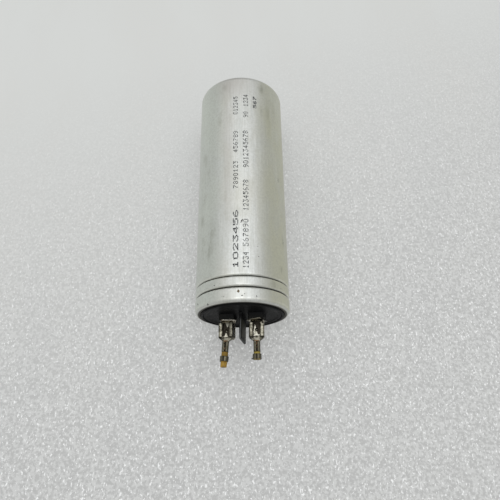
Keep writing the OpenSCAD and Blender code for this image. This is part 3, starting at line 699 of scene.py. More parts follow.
# %% Can shell
rim_centre = (OUT_R - RIM_R, CAN_H - RIM_R)
outside = np.vstack([
    [[0, 0], [8, 0], [16, 0]],
    arc((OUT_R - EDGE_R, EDGE_R), EDGE_R, -90, 0, 16),
    wall(EDGE_R + 2, BEADS[0] - 4, 70),
    wall(BEADS[0] - 3.6, BEADS[0] - 1.3, 14),
    bead_outside(BEADS[0], BEAD_SLITS[0]),
    wall(BEADS[0] + 1.3, BEADS[1] - 1.3, 24),
    bead_outside(BEADS[1], BEAD_SLITS[1]),
    wall(BEADS[1] + 1.3, rim_centre[1] - 0.2, 20),
    arc(rim_centre, RIM_R, 0, RIM_SWEEP, 22),
])
rise = outside[:, 1]
drawn_in = 0.16 * sum(bell(rise, z - 0.3, 0.9) for z in BEADS)
drawn_in += 0.10 * bell(rise, rim_centre[1] + 0.8, 0.8) * (rise > BEADS[1] + 1)
outside[:, 0] -= drawn_in
crests = outside[outside[:, 0] > OUT_R - 1.3]
inside_line = np.vstack([
    [[0, 1]],
    arc((CAN_R - EDGE_R, EDGE_R), EDGE_R - WALL, -90, 0, 8),
    bead_inside(BEADS[0], BEAD_SLITS[0]),
    bead_inside(BEADS[1], BEAD_SLITS[1]),
    arc(rim_centre, RIM_R - WALL, 0, RIM_SWEEP, 10),
])
can = make_object("can_shell", *turned(np.vstack([outside, inside_line[::-1]])))
print("can shell:", len(can.data.vertices), "points")

# %% [markdown]
# Painted shade darkens the places where shade falls: deep in both slits, and on the cut edge of the
# rolled rim. The number falls off smoothly with the distance from those places.

# %% Painted shade on the can's points
def points_of(thing):
    """The mesh's points as an array in millimetres."""
    co = np.empty(len(thing.data.vertices) * 3, np.float32)
    thing.data.vertices.foreach_get("co", co)
    return co.reshape(-1, 3).astype(float) / MM


def paint(thing, name, values):
    """Stores one number for each point of the mesh, for its material to read."""
    layer = thing.data.attributes.new(name, "FLOAT", "POINT")
    layer.data.foreach_set("value", np.asarray(values, np.float32))
    print("painted on", thing.name + ":", name, "on", int((values > 0.01).sum()), "points")


x, y, height = points_of(can).T
radius = np.hypot(x, y)
in_slit = sum(share * bell(height, z, 0.45) for share, z in zip((0.8, 1.0), BEADS))
in_slit *= ramp(radius, OUT_R - 0.55, OUT_R - 1.15)
round_rim = np.degrees(np.arctan2(height - rim_centre[1], radius - rim_centre[0]))
at_lip = ramp(round_rim, 66, 82) * (height > rim_centre[1] + 1)
# Painted shade in both slits and on the rim's lip.
paint(can, "crevice_shade", np.clip(in_slit + 0.9 * at_lip, 0, 1))

# %% [markdown]
# The shoulders above the beads, the crest of the rim and the foot are polished by handling, and their
# colour is made brighter there as a painted highlight. An olive tint on one side of the wall and a cooler,
# paler one on the other are painted reflections, and the front is painted darker as shade near the foot
# and in a narrow band up the wall.

# %% Wear and painted light on the can's points
azimuth = np.degrees(np.arctan2(x, -y))
outer = radius > OUT_R - 0.45
shoulders = sum(bell(height, z - 0.75, 0.38) for z in BEADS)
crest = 0.7 * bell(height, rim_centre[1] + 0.35, 0.4)
foot = 0.35 * bell(height, 0.9, 0.8)
# Painted highlight and polish on the shoulders, the rim's crest and the foot.
paint(can, "worn", 0.75 * np.clip((shoulders + crest + foot) * outer, 0, 1))
# Painted reflection tints on the two sides of the wall.
paint(can, "olive_reflection", ramp(azimuth, -27, -49) * ramp(azimuth, -150, -110) * outer)
paint(can, "cool_reflection", 0.85 * ramp(azimuth, 10, 26) * ramp(azimuth, 130, 90) * outer)
# Painted shade near the foot and up a band of the front.
shade_at_foot = 0.9 * ramp(height, 22, 7) * bell(azimuth, -1, 22)
shade_band = 0.32 * bell(azimuth, 7, 7) * ramp(height, 6, 26) * ramp(height, 118, 88)
paint(can, "dull", np.maximum(shade_at_foot, shade_band) * outer)

# %% [markdown]
# Darker blotches are left where damp stood. Each one is a bell round the can and up it:
# depth * exp(-(turn / width)^2) * exp(-(height / tall)^2), and where two meet the deeper one counts.

# %% Blotches on the can's points
BLOTCHES = np.array([  # azimuth in degrees, height, width in degrees, tall, depth
    (33, 110, 6, 6, 0.5), (43, 107, 5, 5, 0.35), (29, 101, 6, 4, 0.4), (49, 92, 4, 3, 0.4),
    (47, 79, 5, 5, 0.25), (46, 54, 4, 4, 0.45), (40, 66, 4, 5, 0.4), (12.5, 53, 1, 7, 0.3),
    (19, 31, 3, 5, 0.25), (12.5, 8, 3, 2.5, 0.5), (-39, 8, 4, 3, 0.6), (-39, 25, 2.5, 3, 0.35),
    (-53, 24, 8, 9, 0.3), (-72, 104, 3, 3, 0.3), (-65, 121, 2.5, 1.2, 0.6), (-50, 131, 5, 3, 0.3),
    (96, 35, 8, 9, 0.5), (118, 97, 6, 12, 0.6), (160, 64, 9, 7, 0.5), (-125, 48, 6, 10, 0.6),
    (-150, 116, 9, 6, 0.6),
])
blot = np.zeros(len(height))
for turn, tall_at, wide, tall, depth in BLOTCHES:
    away = (azimuth - turn + 180) % 360 - 180
    blot = np.maximum(blot, depth * bell(away, 0, wide) * bell(height, tall_at, tall))
paint(can, "stain", blot * outer)
aluminium.put_on(can)
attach(can, "root")
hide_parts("can")

# %% [markdown]
# ## Print on the can
#
# Dot-matrix print in three rows along the axis, read towards the closed end. The real part's words and
# numbers are its maker's, so these are plain running digits in groups of the same lengths. Each dot is
# a small eight-sided patch that lies on the wall: its point (along, up) from the group's start goes to
# the angle (azimuth + up / radius) and the height (start - along).

# %% Digits and dots
BROAD_DIGIT = 3.0  # digits wider than this have doubled columns
DIGITS = {
    "0": "01110 10001 10001 10001 10001 10001 01110",
    "1": "00100 01100 00100 00100 00100 00100 01110",
    "2": "01110 10001 00001 00010 00100 01000 11111",
    "3": "11111 00010 00100 00010 00001 10001 01110",
    "4": "00010 00110 01010 10010 11111 00010 00010",
    "5": "11111 10000 11110 00001 00001 10001 01110",
    "6": "00110 01000 10000 11110 10001 10001 01110",
    "7": "11111 00001 00010 00100 01000 01000 01000",
    "8": "01110 10001 10001 01110 10001 10001 01110",
    "9": "01110 10001 10001 01111 00001 00010 01100",
}


def dots_of(text, pitch, wide, tall):
    """Middles of the printed dots of a run of digits, as (along, up) in millimetres: column and row of
    each inked cell, scaled to a digit of the given width and height."""
    places = []
    for index, digit in enumerate(text):
        cells = np.array([[c == "1" for c in row] for row in DIGITS[digit].split()])
        if wide > BROAD_DIGIT:
            cells = np.repeat(cells, 2, axis=1)
        row, column = np.nonzero(cells)
        along = index * pitch + (column + 0.5) * wide / cells.shape[1]
        up = tall - (row + 0.5) * tall / cells.shape[0]
        places.append(np.stack([along, up], 1))
    return np.vstack(places)


print("a digit 8 has", len(dots_of("8", 1, 1, 1)), "dots")

# %% [markdown]
# The rows stand beside each other round the can, and each is broken into groups with their own pitch.

# %% Rows of print
ROWS = [  # azimuth in degrees, start height, digits, pitch, width and height of a digit, dot radius
    (-5.9, 123.8, "1", 4.8, 3.9, 2.7, 0.30),
    (-5.9, 119.0, "023456", 4.75, 3.9, 2.7, 0.30),
    (-5.9, 78.0, "7890123", 2.55, 1.8, 2.6, 0.25),
    (-5.9, 55.0, "456789", 2.5, 1.8, 2.6, 0.24),
    (-5.9, 28.9, "012345", 2.2, 1.6, 2.6, 0.24),
    (-17.9, 123.9, "1234", 2.35, 1.75, 2.9, 0.27),
    (-18.1, 112.0, "567890", 2.7, 1.9, 2.9, 0.26),
    (-18.6, 91.4, "12345678", 2.4, 1.7, 2.9, 0.26),
    (-19.0, 64.9, "9012345678", 2.5, 1.8, 2.9, 0.26),
    (-19.4, 31.1, "90", 2.2, 1.6, 2.9, 0.24),
    (-19.6, 23.2, "1234", 2.25, 1.6, 2.9, 0.24),
    (-30.9, 23.8, "567", 3.0, 2.3, 1.9, 0.34),
]
LIFT = 0.03  # the print stands this far out from the wall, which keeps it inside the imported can
MISSING = 0.04  # the share of dots that never printed


def wall_radius(height):
    """Radius of the can's outside at a height, read off its section."""
    return np.interp(height, crests[:, 1], crests[:, 0])


print("groups of digits:", len(ROWS), "with", sum(len(row[2]) for row in ROWS), "digits in all")

# %% [markdown]
# Some dots are missing or smaller where the ink has worn off or the head missed.

# %% The printed patches
def patches_on_can(name, angle, height, size, sides, wobble=0.0):
    """Small rounded patches on the can's wall: for each (angle in radians, height, radius) a fan of
    points radius * (cos, sin) round a middle one, bent onto the wall, with the outline wobbled."""
    turn = np.linspace(0, 2 * np.pi, sides, endpoint=False)[None, :]
    wave = 1 + wobble * rng.normal(size=(len(angle), sides))
    along = size[:, None] * wave * np.cos(turn)
    up = size[:, None] * wave * np.sin(turn)
    a = np.concatenate([angle[:, None], angle[:, None] + along / OUT_R], 1)
    z = np.concatenate([height[:, None], height[:, None] + up], 1)
    r = wall_radius(z) + LIFT
    points = np.stack([r * np.sin(a), -r * np.cos(a), z], -1).reshape(-1, 3)
    first = (np.arange(len(angle)) * (sides + 1))[:, None]
    k = np.arange(sides)[None, :]
    fans = np.broadcast_arrays(first, first + 1 + k, first + 1 + (k + 1) % sides)
    return make_object(name, points, np.stack(fans, -1).reshape(-1, 3).tolist())


angles, heights, sizes = [], [], []
for azimuth, start, text, pitch, wide, tall, dot in ROWS:
    spots = dots_of(text, pitch, wide, tall)
    spots = spots[rng.random(len(spots)) > MISSING]
    jitter = rng.normal(scale=0.03, size=spots.shape)
    angles.append(np.radians(azimuth) + (spots[:, 1] + jitter[:, 1]) / OUT_R)
    heights.append(start - spots[:, 0] + jitter[:, 0])
    sizes.append(dot * rng.uniform(0.75, 1.1, len(spots)))
ink_print = patches_on_can("can_print", *(np.concatenate(k) for k in (angles, heights, sizes)), 8)
ink.put_on(ink_print)
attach(ink_print, "root")
print("printed dots:", sum(len(a) for a in angles))

# %% [markdown]
# ## Dirt on the can
#
# A brown spot and dark specks, most of them between the beads and the rim, and short scratches of dirt
# lower down. Each is a small wobbly patch on the wall, because a patch has a crisp outline at any size.

# %% Specks and the brown spot
SPECKS = np.array([  # azimuth in degrees, height, radius
    (-9.5, 138.2, 0.22), (-10.5, 138.1, 0.24), (-13, 137.3, 0.28), (-26.5, 138.6, 0.28), (-26.5, 138, 0.2),
    (23.5, 131.4, 0.34), (56, 137.7, 0.36), (33.5, 140.2, 0.36), (35, 140.4, 0.22), (53, 138.3, 0.2),
    (10.5, 138, 0.15), (11.5, 138.1, 0.17), (13, 138, 0.14), (14.5, 131.2, 0.12), (16, 131.2, 0.12),
    (-11, 96.8, 0.2), (-10.5, 97.3, 0.3), (-10, 97.7, 0.36), (-9.5, 98.2, 0.3), (-9, 98.6, 0.18),
    (-65.5, 65.6, 0.2), (-65.5, 66.4, 0.3), (-65.5, 67.2, 0.3), (-65.5, 68, 0.18),
    (-72, 104.4, 0.3), (-30, 117.2, 0.24), (-29, 111.7, 0.18), (2.5, 98.7, 0.18), (-62, 131.6, 0.2),
    (88, 126, 0.24), (131, 71, 0.3), (-104, 137.4, 0.3), (170, 21, 0.28), (-168, 132, 0.24),
])
dirt_specks = patches_on_can("can_specks", np.radians(SPECKS[:, 0]), *SPECKS.T[1:], 9, 0.25)
speck.put_on(dirt_specks)
brown_spot = patches_on_can("can_brown_spot", *np.array([[math.radians(-6)], [135.9], [0.72]]), 14, 0.12)
brown.put_on(brown_spot)
for mark in (dirt_specks, brown_spot):
    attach(mark, "root")
print("specks:", len(SPECKS))

# %% [markdown]
# ## Cover
#
# The cover is one moulding: a round deck with a shallow dish, a flange under the gasket, two pads that
# carry the terminals and a thin barrier between them that keeps a spark from crossing. Moulded edges are
# never sharp, so every edge here is an arc. The barrier is thicker at its foot, as a mould needs.

# %% Stacked outlines
def stacked(levels, corner_steps=8):
    """Rounded rectangles stacked along Z. Each level is (height, half width, half depth, corner radius),
    and its outline is four arcs of that radius about the corners' centres."""
    levels = np.asarray(levels, float)
    z, half_w, half_d, r = (column[:, None] for column in levels.T)
    quarter = np.linspace(0, 90, corner_steps)
    turn = np.radians((quarter[None, :] + np.array([0, 90, 180, 270])[:, None]).ravel())
    side_x = np.repeat([1, -1, -1, 1], corner_steps)
    side_y = np.repeat([1, 1, -1, -1], corner_steps)
    x = side_x * (half_w - r) + r * np.cos(turn)
    y = side_y * (half_d - r) + r * np.sin(turn)
    count = len(turn)
    points = np.stack([x, y, np.broadcast_to(z, x.shape)], -1).reshape(-1, 3)
    top = (len(levels) - 1) * count
    faces = quads(len(levels), count).tolist()
    faces += [list(range(count))[::-1], list(range(top, top + count))]
    return points, faces


def rounded_top(top, half_w, half_d, corner, edge, steps=6):
    """Levels that round a block's top edge: the outline draws in by edge * (1 - cos) while the height
    climbs by edge * sin."""
    a = np.radians(np.linspace(0, 90, steps))
    inset = edge * (1 - np.cos(a))
    radius = np.maximum(corner - inset, 0.03)
    return np.stack([top - edge + edge * np.sin(a), half_w - inset, half_d - inset, radius], 1)


def together(shapes):
    """Several shapes as one: their points in one list, and their faces renumbered to match."""
    starts = np.cumsum([0] + [len(points) for points, faces in shapes])
    points = np.vstack([points for points, faces in shapes])
    faces = [[int(start + k) for k in face] for start, shape in zip(starts, shapes) for face in shape[1]]
    return points, faces

# %% [markdown]
# The deck, with its flange and its dish, is a turned section. The pads and the barrier are stacks of
# outlines that draw in quickly at the foot and slowly above it, and their tops are rounded.

# %% Moulded cover
deck = np.vstack([
    [[0, DISH_Z - DECK_T], [SKIRT_R, DISH_Z - DECK_T], [SKIRT_R, FLANGE_Z]],
    [[FLANGE_R, FLANGE_Z], [FLANGE_R, FLANGE_TOP], [DECK_R, FLANGE_TOP]],
    arc((DECK_R - 0.3, DECK_Z - 0.3), 0.3, 0, 90, 7),
    [[DECK_R - 1.2, DECK_Z], [DECK_R - 1.45, DECK_Z - 0.06], [DECK_R - 1.85, DISH_Z + 0.06]],
    [[DECK_R - 2.1, DISH_Z], [15, DISH_Z], [10, DISH_Z], [5, DISH_Z], [0, DISH_Z]],
])
pad = stacked(np.vstack([
    [[DISH_Z - 0.2, 4.5, 4.75, 1.2], [DISH_Z + 0.08, 4.45, 4.7, 1.2], [DISH_Z + 0.35, 4.24, 4.54, 1.1]],
    rounded_top(PAD_Z, 4.2, 4.5, 1.0, 0.3),
]))
barrier = stacked(np.vstack([
    [[DISH_Z - 0.2, 1.2, 6.5, 0.45], [DISH_Z + 0.1, 1.12, 6.45, 0.45], [DISH_Z + 0.5, 0.9, 6.27, 0.4]],
    np.linspace([DISH_Z + 1.2, 0.87, BARRIER_HALF, 0.4], [BARRIER_TOP - 1.0, 0.62, BARRIER_HALF, 0.4], 14),
    rounded_top(BARRIER_TOP, 0.6, BARRIER_HALF, 0.4, 0.35),
]))
pads = [(pad[0] + [x, 0, 0], pad[1]) for x in (PAD_X, -PAD_X)]
points, faces = together([turned(deck, count=240), *pads, barrier])
cover = make_object("cover_moulding", points, faces)
print("cover:", len(points), "points, barrier", round(BARRIER_TOP - DISH_Z, 1), "mm tall")

# %% [markdown]
# Two numbers go on the cover's points. Wear runs along the barrier's top and the deck's rim. The scuff
# lies on one side of the barrier, below its tip, and is slight on the pads and on the dish's edge.

# %% Wear and scuffs on the cover
x, y, z = points.T
radius = np.hypot(x, y)
blade = np.arange(len(points)) >= len(points) - len(barrier[0])
rims = 0.12 * (np.abs(radius - DECK_R + 0.15) < 0.12) * (z > DECK_Z - 0.2)
paint(cover, "worn", np.where(blade & (z > BARRIER_TOP - 0.25), 0.25, rims))
on_pads = (np.abs(x) > 2.5) & (z > DECK_Z + 0.5) & ~blade & (radius < 14)
film = blade & (x < -0.55) & (z > DISH_Z + 3.5) & (z < BARRIER_TOP - 1.2)
on_edge = 0.3 * ramp(x, 9.5, 12.5) * ramp(radius, DECK_R - 1.2, DECK_R - 1.7) * (z > DISH_Z)
paint(cover, "scuffed", np.where(film, 0.8, np.where(on_pads, 0.16, on_edge)))
moulding.put_on(cover)
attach(cover, "root")
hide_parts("cover")

# %% [markdown]
# ## Gasket
#
# A black rubber ring fills the rolled rim and shows as a round lip between the rim and the deck. Rubber
# that is squeezed by a rolled edge bulges unevenly, so the lip's height swings a little round the ring.
# A closed piece's volume comes out positive when its faces point outwards, so it is printed to see that.

# %% Rubber gasket
def enclosed(points, faces):
    """Volume inside a closed shape in cubic millimetres, which is positive when its faces point outwards:
    a sixth of the sum of a . (b x c) over the triangles of every face."""
    fans = [(f[0], f[k], f[k + 1]) for f in faces for k in range(1, len(f) - 1)]
    a, b, c = np.moveaxis(np.asarray(points)[np.array(fans)], 1, 0)
    return float(np.einsum("ij,ij->i", a, np.cross(b, c)).sum() / 6)


RIM_GAP = 0.1  # between the rubber and the rim's inside
lip_r = (RIM_MOUTH_R - RIM_GAP - GASKET_R) / 2
lip_centre = (GASKET_R + lip_r, GASKET_TOP - lip_r - 0.02)
ring = np.vstack([
    [[GASKET_R, FLANGE_TOP], [CAN_R - WALL - RIM_GAP, FLANGE_TOP]],
    arc((CAN_R - RIM_R, CAN_H - RIM_R), RIM_R - WALL - RIM_GAP, 0, 118, 12),
    [[RIM_MOUTH_R + 0.313, CAN_H - 1.01], [RIM_MOUTH_R - 0.087, CAN_H - 0.32]],
    arc(lip_centre, lip_r, 0, 180, 16),
])
points, faces = turned(ring, count=300, closed=True)
swing = np.arctan2(points[:, 1], points[:, 0])
ripple = 0.02 * (np.sin(3 * swing + 1) + 0.6 * np.sin(7 * swing) + 0.4 * np.sin(19 * swing + 2) - 2)
points[:, 2] += np.where(points[:, 2] > lip_centre[1], ripple, 0)
gasket = make_object("gasket_ring", points, faces)
rubber.put_on(gasket)
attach(gasket, "root")
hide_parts("cover_gasket")
print("gasket:", round(enclosed(points, faces)), "mm3")

# %% [markdown]
# ## Terminals, their plates and rivets
#
# These are stamped from sheet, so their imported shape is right, apart from its razor edges. A copy of each
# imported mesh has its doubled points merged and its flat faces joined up, and then the Bevel modifier
# rounds every edge sharper than a given angle. The holes for the dimples stay open.

# %% Stamped pieces with rounded edges
def softened(node, width, finish):
    """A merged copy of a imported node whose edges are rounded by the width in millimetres."""
    form = bmesh.new()
    form.from_mesh(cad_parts[node].data)
    bmesh.ops.remove_doubles(form, verts=form.verts, dist=2e-6)
    bmesh.ops.dissolve_limit(form, angle_limit=math.radians(0.8), verts=form.verts, edges=form.edges)
    mesh = bpy.data.meshes.new(node + "_softened")
    form.to_mesh(mesh)
    form.free()
    thing = placed(node + "_softened", mesh, 40)
    rounding = thing.modifiers.new("Rounded edges", "BEVEL")
    rounding.width = width * MM
    rounding.segments = 3
    rounding.limit_method = "ANGLE"
    rounding.angle_limit = math.radians(38)
    finish.put_on(thing)
    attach(thing, "root")
    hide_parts(node)


for side, plate, tab in [("left", plates, left_tab), ("right", dark_cornered, right_tab)]:
    softened(side + "_seat_plate", 0.1, plate)
    softened(side + "_terminal", 0.1, tab)
    softened(side + "_rivet", 0.12, heads)

# %% [markdown]
# ## Bent sheet
#
# A receptacle is one piece of tinned sheet, bent differently along its length: two rolls grip the tab, a
# channel tapers down, two lobes bite the strands, and a last pair of ears holds the insulation. In plan
# each length is a line bent to shape, so one function does them all: it gives the line a thickness,
# rounds its ends, and carries it up through the heights.

# %% Sheet carried along heights
def folded(lines, heights, thickness, marks):
    """Bent sheet as a closed shape with one mark for each point. The middle line of each level (levels,
    points, 2) is moved half the thickness to both sides along its normal, half circles close its two
    ends, and the loops are joined from level to level."""
    along = np.gradient(lines, axis=1)
    along /= np.linalg.norm(along, axis=2, keepdims=True)
    normal = np.stack([-along[..., 1], along[..., 0]], -1)
    half = (np.broadcast_to(thickness, len(heights)) / 2)[:, None, None]
    bow = np.radians([45, 90, 135])[None, :, None]
    end = lines[:, -1:] + half * (np.cos(bow) * normal[:, -1:] + np.sin(bow) * along[:, -1:])
    start = lines[:, :1] - half * (np.cos(bow) * normal[:, :1] + np.sin(bow) * along[:, :1])
    loops = np.concatenate([lines + half * normal, end, (lines - half * normal)[:, ::-1], start], 1)
    z = np.broadcast_to(np.asarray(heights, float)[:, None, None], (*loops.shape[:2], 1))
    points = np.concatenate([loops, z], 2).reshape(-1, 3)

    n, m = lines.shape[1], loops.shape[1]
    a = np.arange(n - 1)
    b = 2 * n + 2 - a
    caps = np.stack([a, a + 1, b - 1, b], 1).tolist()
    caps += [list(range(n - 1, n + 4)), [*range(2 * n + 2, 2 * n + 6), 0]]
    top = (len(heights) - 1) * m
    faces = quads(len(heights), m)[:, ::-1].tolist() + caps
    faces += [[top + k for k in cap[::-1]] for cap in caps]

    marks = np.broadcast_to(marks, lines.shape[:2])
    ends = [np.repeat(marks[:, k:k + 1], 3, axis=1) for k in (n - 1, 0)]
    spread = np.concatenate([marks, ends[0], marks[:, ::-1], ends[1]], 1).ravel()
    return points, faces, spread

# %% [markdown]
# A middle line is put together from arcs and straight stretches. Only its right half is worked out, and
# the left one mirrors it. The sheet is thinned at both ends of a length, which rounds its cut edges.

# %% Arcs, mirrored lines and thinned ends
def bend(x, y, radius, start, end, count):
    """An arc about (x, y), where x, y and radius may change from level to level."""
    angle = np.radians(np.linspace(start, end, count))
    x, y, radius = (np.reshape(k, (-1, 1)) for k in (x, y, radius))
    return np.stack(np.broadcast_arrays(x + radius * np.cos(angle), y + radius * np.sin(angle)), -1)


def mirrored(*pieces):
    """A middle line from the pieces of its right half, which may be the same at every level: the half
    mirrored in X and run backwards, then the half itself."""
    levels = max(len(piece) for piece in pieces)
    half = np.concatenate([np.broadcast_to(k, (levels, *k.shape[1:])) for k in pieces], 1)
    return np.concatenate([half[:, ::-1] * [-1, 1], half], 1)


def twice(mark):
    """The marks of a mirrored line from those of its right half."""
    return np.concatenate([mark[::-1], mark])


def thinned(heights):
    """Heights with two more close to each end, and the thickness there as a share, so that the cut edge
    is rounded: 0.5 at the end, 0.85 a little further in, and then 1."""
    first, last = heights[0], heights[-1]
    steps = np.array([0, 0.03, 0.1])
    more = np.concatenate([first + steps, heights[1:-1], last - steps[::-1]])
    share = np.ones(len(more))
    share[[0, -1]] = 0.5
    share[[1, -2]] = 0.85
    return more, share

# %% [markdown]
# The bends' sizes follow from the tab, the sheet and the wire, with a few hundredths of a millimetre
# between sheets that touch. X and Y are measured from the tab's middle, and radii to the middle of the
# sheet.

# %% Sizes of the bends
DETENT_Z = TAB_TIP - 3.2  # the dimple clicks into this hole
BACK_Y = TAB_T / 2 + 0.02 + SHEET / 2  # middle of the sheet behind the tab
BEND_R = 1.5 * SHEET
SIDE_X = TAB_W / 2 + BEND_R
ROLL_R = 1.0
ROLL_Y = -(TAB_T / 2 + 0.04) - (ROLL_R + SHEET / 2) * math.sin(math.radians(15))
CRIMP_X = (CRIMP_W - SHEET) / 2
LOBE_R = (CRIMP_X - SHEET / 2 - 0.025) / 2
LOBE_Y = BACK_Y + SHEET - CRIMP_H + LOBE_R
WIRE_Y = (BACK_Y + LOBE_Y - LOBE_R) / 2
CLAMP_R = WIRE_D / 2 + 0.15 + SHEET / 2
ROLL_SWEEP, ROLL_STEPS = 195, 26
LOBE_SWEEP, LOBE_STEPS = 200, 24
CORNER_STEPS = 7

print("roll", round(2 * ROLL_R + SHEET, 2), "mm across, lobe", round(2 * LOBE_R + SHEET, 2), "mm")

# %% [markdown]
# Each mark says how dark the metal is there, from tarnish and from painted shade. It is darkest in the
# crevice where a roll curls in towards the tab, where shade falls, on the flanks, and at the cut ends.
# The crest of a roll is rubbed brighter.

# %% The rolls
def fade(x, middle, width):
    """exp(-|x - middle| / width)"""
    return np.exp(-np.abs(x - middle) / width)


def eased(x):
    """x^2 * (3 - 2 x), which leaves 0 and reaches 1 softly."""
    return x * x * (3 - 2 * x)


def grip(wander):
    """The two rolls: a corner at the back, a flank, and a roll turned through ROLL_SWEEP, whose radius
    is ROLL_R * (1 + 0.6 * flare + 0.025 * sin(2.1 z + wander)). The inner roll is the darker, partly
    from tarnish and partly as painted shade."""
    z, share = thinned(np.linspace(MOUTH_Z, TAB_TIP, 22))
    flare = 0.09 * fade(z, MOUTH_Z, 0.35) + 0.05 * fade(z, TAB_TIP, 0.3)
    r = ROLL_R * (1 + 0.6 * flare + 0.025 * np.sin(2.1 * z + wander))
    line = mirrored(
        bend(TAB_W / 2, BACK_Y - BEND_R, BEND_R, 90, 0, CORNER_STEPS),
        bend(SIDE_X - r, ROLL_Y, r, 0, -ROLL_SWEEP, ROLL_STEPS),
    )
    turn = np.concatenate([np.linspace(90, 0, CORNER_STEPS), np.linspace(0, -ROLL_SWEEP, ROLL_STEPS)])
    # Tarnish and painted shade in the crevice and on the flank.
    mark = np.maximum(ramp(turn, -128, -168), 0.85 * ramp(turn, -42, -2))
    least = np.repeat([0.62, 0.12] if wander > 0 else [0.1, 0.3], len(turn))
    marks = np.maximum(np.maximum(twice(mark), least), fade(z, TAB_TIP, 0.22)[:, None])
    return folded(line, z, SHEET * share, marks)

# %% [markdown]
# The channel leads from the rolls down to the lobes, and the lobes are curled in until they bite the
# strands from both sides. Both ends of a good crimp open out like a bell, so that they don't cut.

# %% The channel and the lobes
def taper():
    """The channel between the rolls and the lobes: its width and its depth go from one to the other by
    eased(way)^1.25, which is late rather than early."""
    z, share = thinned(np.linspace(TAB_TIP - 0.05, CRIMP_Z + 0.1, 14))
    way = eased((z - z[0]) / (z[-1] - z[0])) ** 1.25
    x = SIDE_X + (CRIMP_X - SIDE_X) * way
    y = ROLL_Y + (LOBE_Y - ROLL_Y) * way
    low = BACK_Y - BEND_R
    flank = np.stack([np.stack([x, low + (y - low) * k], -1) for k in (0.34, 0.67, 1.0)], 1)
    line = mirrored(bend(x - BEND_R, low, BEND_R, 90, 0, CORNER_STEPS), flank)
    edge = np.concatenate([np.zeros(CORNER_STEPS - 2), [0.2, 0.4, 0.6, 0.8, 1.0]])
    marks = 0.8 * twice(edge) + 0.5 * way[:, None] ** 3
    return folded(line, z, (SHEET - 0.04) * share, np.clip(marks, 0.6, 1))


def crimp():
    """The two lobes: a corner, a flank and a lobe turned through LOBE_SWEEP, all of it larger by
    0.05 * exp(-distance / 0.3) near each end."""
    z, share = thinned(np.linspace(CRIMP_Z, CRIMP_END, 20))
    opened = 1 + 0.05 * (fade(z, CRIMP_Z, 0.3) + fade(z, CRIMP_END, 0.3))
    line = mirrored(
        bend(CRIMP_X - BEND_R, BACK_Y - BEND_R, BEND_R, 90, 0, CORNER_STEPS),
        bend(CRIMP_X - LOBE_R, LOBE_Y, LOBE_R, 0, -LOBE_SWEEP, LOBE_STEPS),
    )
    line = (line - [0, WIRE_Y]) * opened[:, None, None] + [0, WIRE_Y]
    turn = np.concatenate([np.linspace(90, 0, CORNER_STEPS), np.linspace(0, -LOBE_SWEEP, LOBE_STEPS)])
    # Tarnish and painted shade where each lobe curls in.
    mark = np.maximum(np.maximum(ramp(turn, -118, -148), 0.7 * ramp(turn, -30, 0)), 0.4)
    return folded(line, z, SHEET * share, np.maximum(twice(mark), 0.6 * fade(z, CRIMP_Z, 0.5)[:, None]))

# %% [markdown]
# The strip behind the bare strands steps back to clear the insulation, and the ears at its end are bent
# round the vinyl to take the pull off the crimp.

# %% The strip and the ears
def joining_strip(bare):
    """The strip from the lobes to the ears: its Y goes from one to the other by eased(way)."""
    z, share = thinned(np.linspace(CRIMP_END - 1, CRIMP_END + bare + 0.05, 12))
    y = BACK_Y + (WIRE_Y + CLAMP_R - BACK_Y) * eased(ramp(z, z[0], z[0] + 0.95))
    x = np.linspace(-1.1, 1.1, 9)
    line = np.stack(np.broadcast_arrays(x[None, :], y[:, None]), -1)
    return folded(line, z, (SHEET - 0.04) * share, 0.5)


def clamp(bare, wander):
    """The ears round the insulation: an arc from the back to the front on each side, whose tips dig in
    and don't quite meet. Its radius is CLAMP_R - dig + 0.03 * sin(1.7 z + wander)."""
    z, share = thinned(np.linspace(CRIMP_END + bare, CRIMP_END + bare + CLAMP_L, 12))
    angle = np.linspace(85, -86, 26)
    dig = 0.16 * ramp(angle, -52, -86) ** 2
    r = CLAMP_R - dig[None, :] + 0.03 * np.sin(1.7 * z + wander)[:, None]
    a = np.radians(angle)
    line = mirrored(np.stack([r * np.cos(a), WIRE_Y + r * np.sin(a)], -1))
    # Tarnish and painted shade at the ears' tips and flanks.
    mark = np.maximum(ramp(angle, -66, -82), 0.8 * ramp(angle, -42, -12))
    ends = 0.7 * fade(z, z[-1], 0.3) + 0.4 * fade(z, z[0], 0.25)
    return folded(line, z, SHEET * share, np.maximum(twice(mark), ends[:, None]))

# %% [markdown]
# The shapes so far stand about the tab's own middle. They are seated on the part by leaning what lies
# beyond the taper, moving to the front tab, turning about the rivet and moving to its place.

# %% Seating on the part
def swung(x, y, angle):
    """A pair turned by an angle in radians: x cos - y sin and x sin + y cos."""
    return x * np.cos(angle) - y * np.sin(angle), x * np.sin(angle) + y * np.cos(angle)


def seated(points, side, lean=0.0, drawn=0.0):
    """Points from a tab's own frame to the part's: leant in X and Z about the start of the taper, then
    -TAB_OFFSET along Y, the terminal's turn about Z, and side * PAD_X."""
    x, y, z = np.asarray(points, float).T
    above = z - TAPER_Z
    share = np.clip(above / 1.2, 0, 1)
    leant_x, leant = swung(x, above, -math.radians(side * lean))
    x = x + (leant_x - x) * share
    z = z + (TAPER_Z + leant - z) * share + drawn
    x, y = swung(x, y - TAB_OFFSET, math.radians(side * TERMINAL_TURN))
    return np.stack([side * PAD_X + x, y, z], 1)

# %% [markdown]
# One dimple in the back sheet clicks into the tab's hole. With it a receptacle is complete, and all its
# lengths become one object, since they are one sheet. The right one has a torn ear that sticks out.

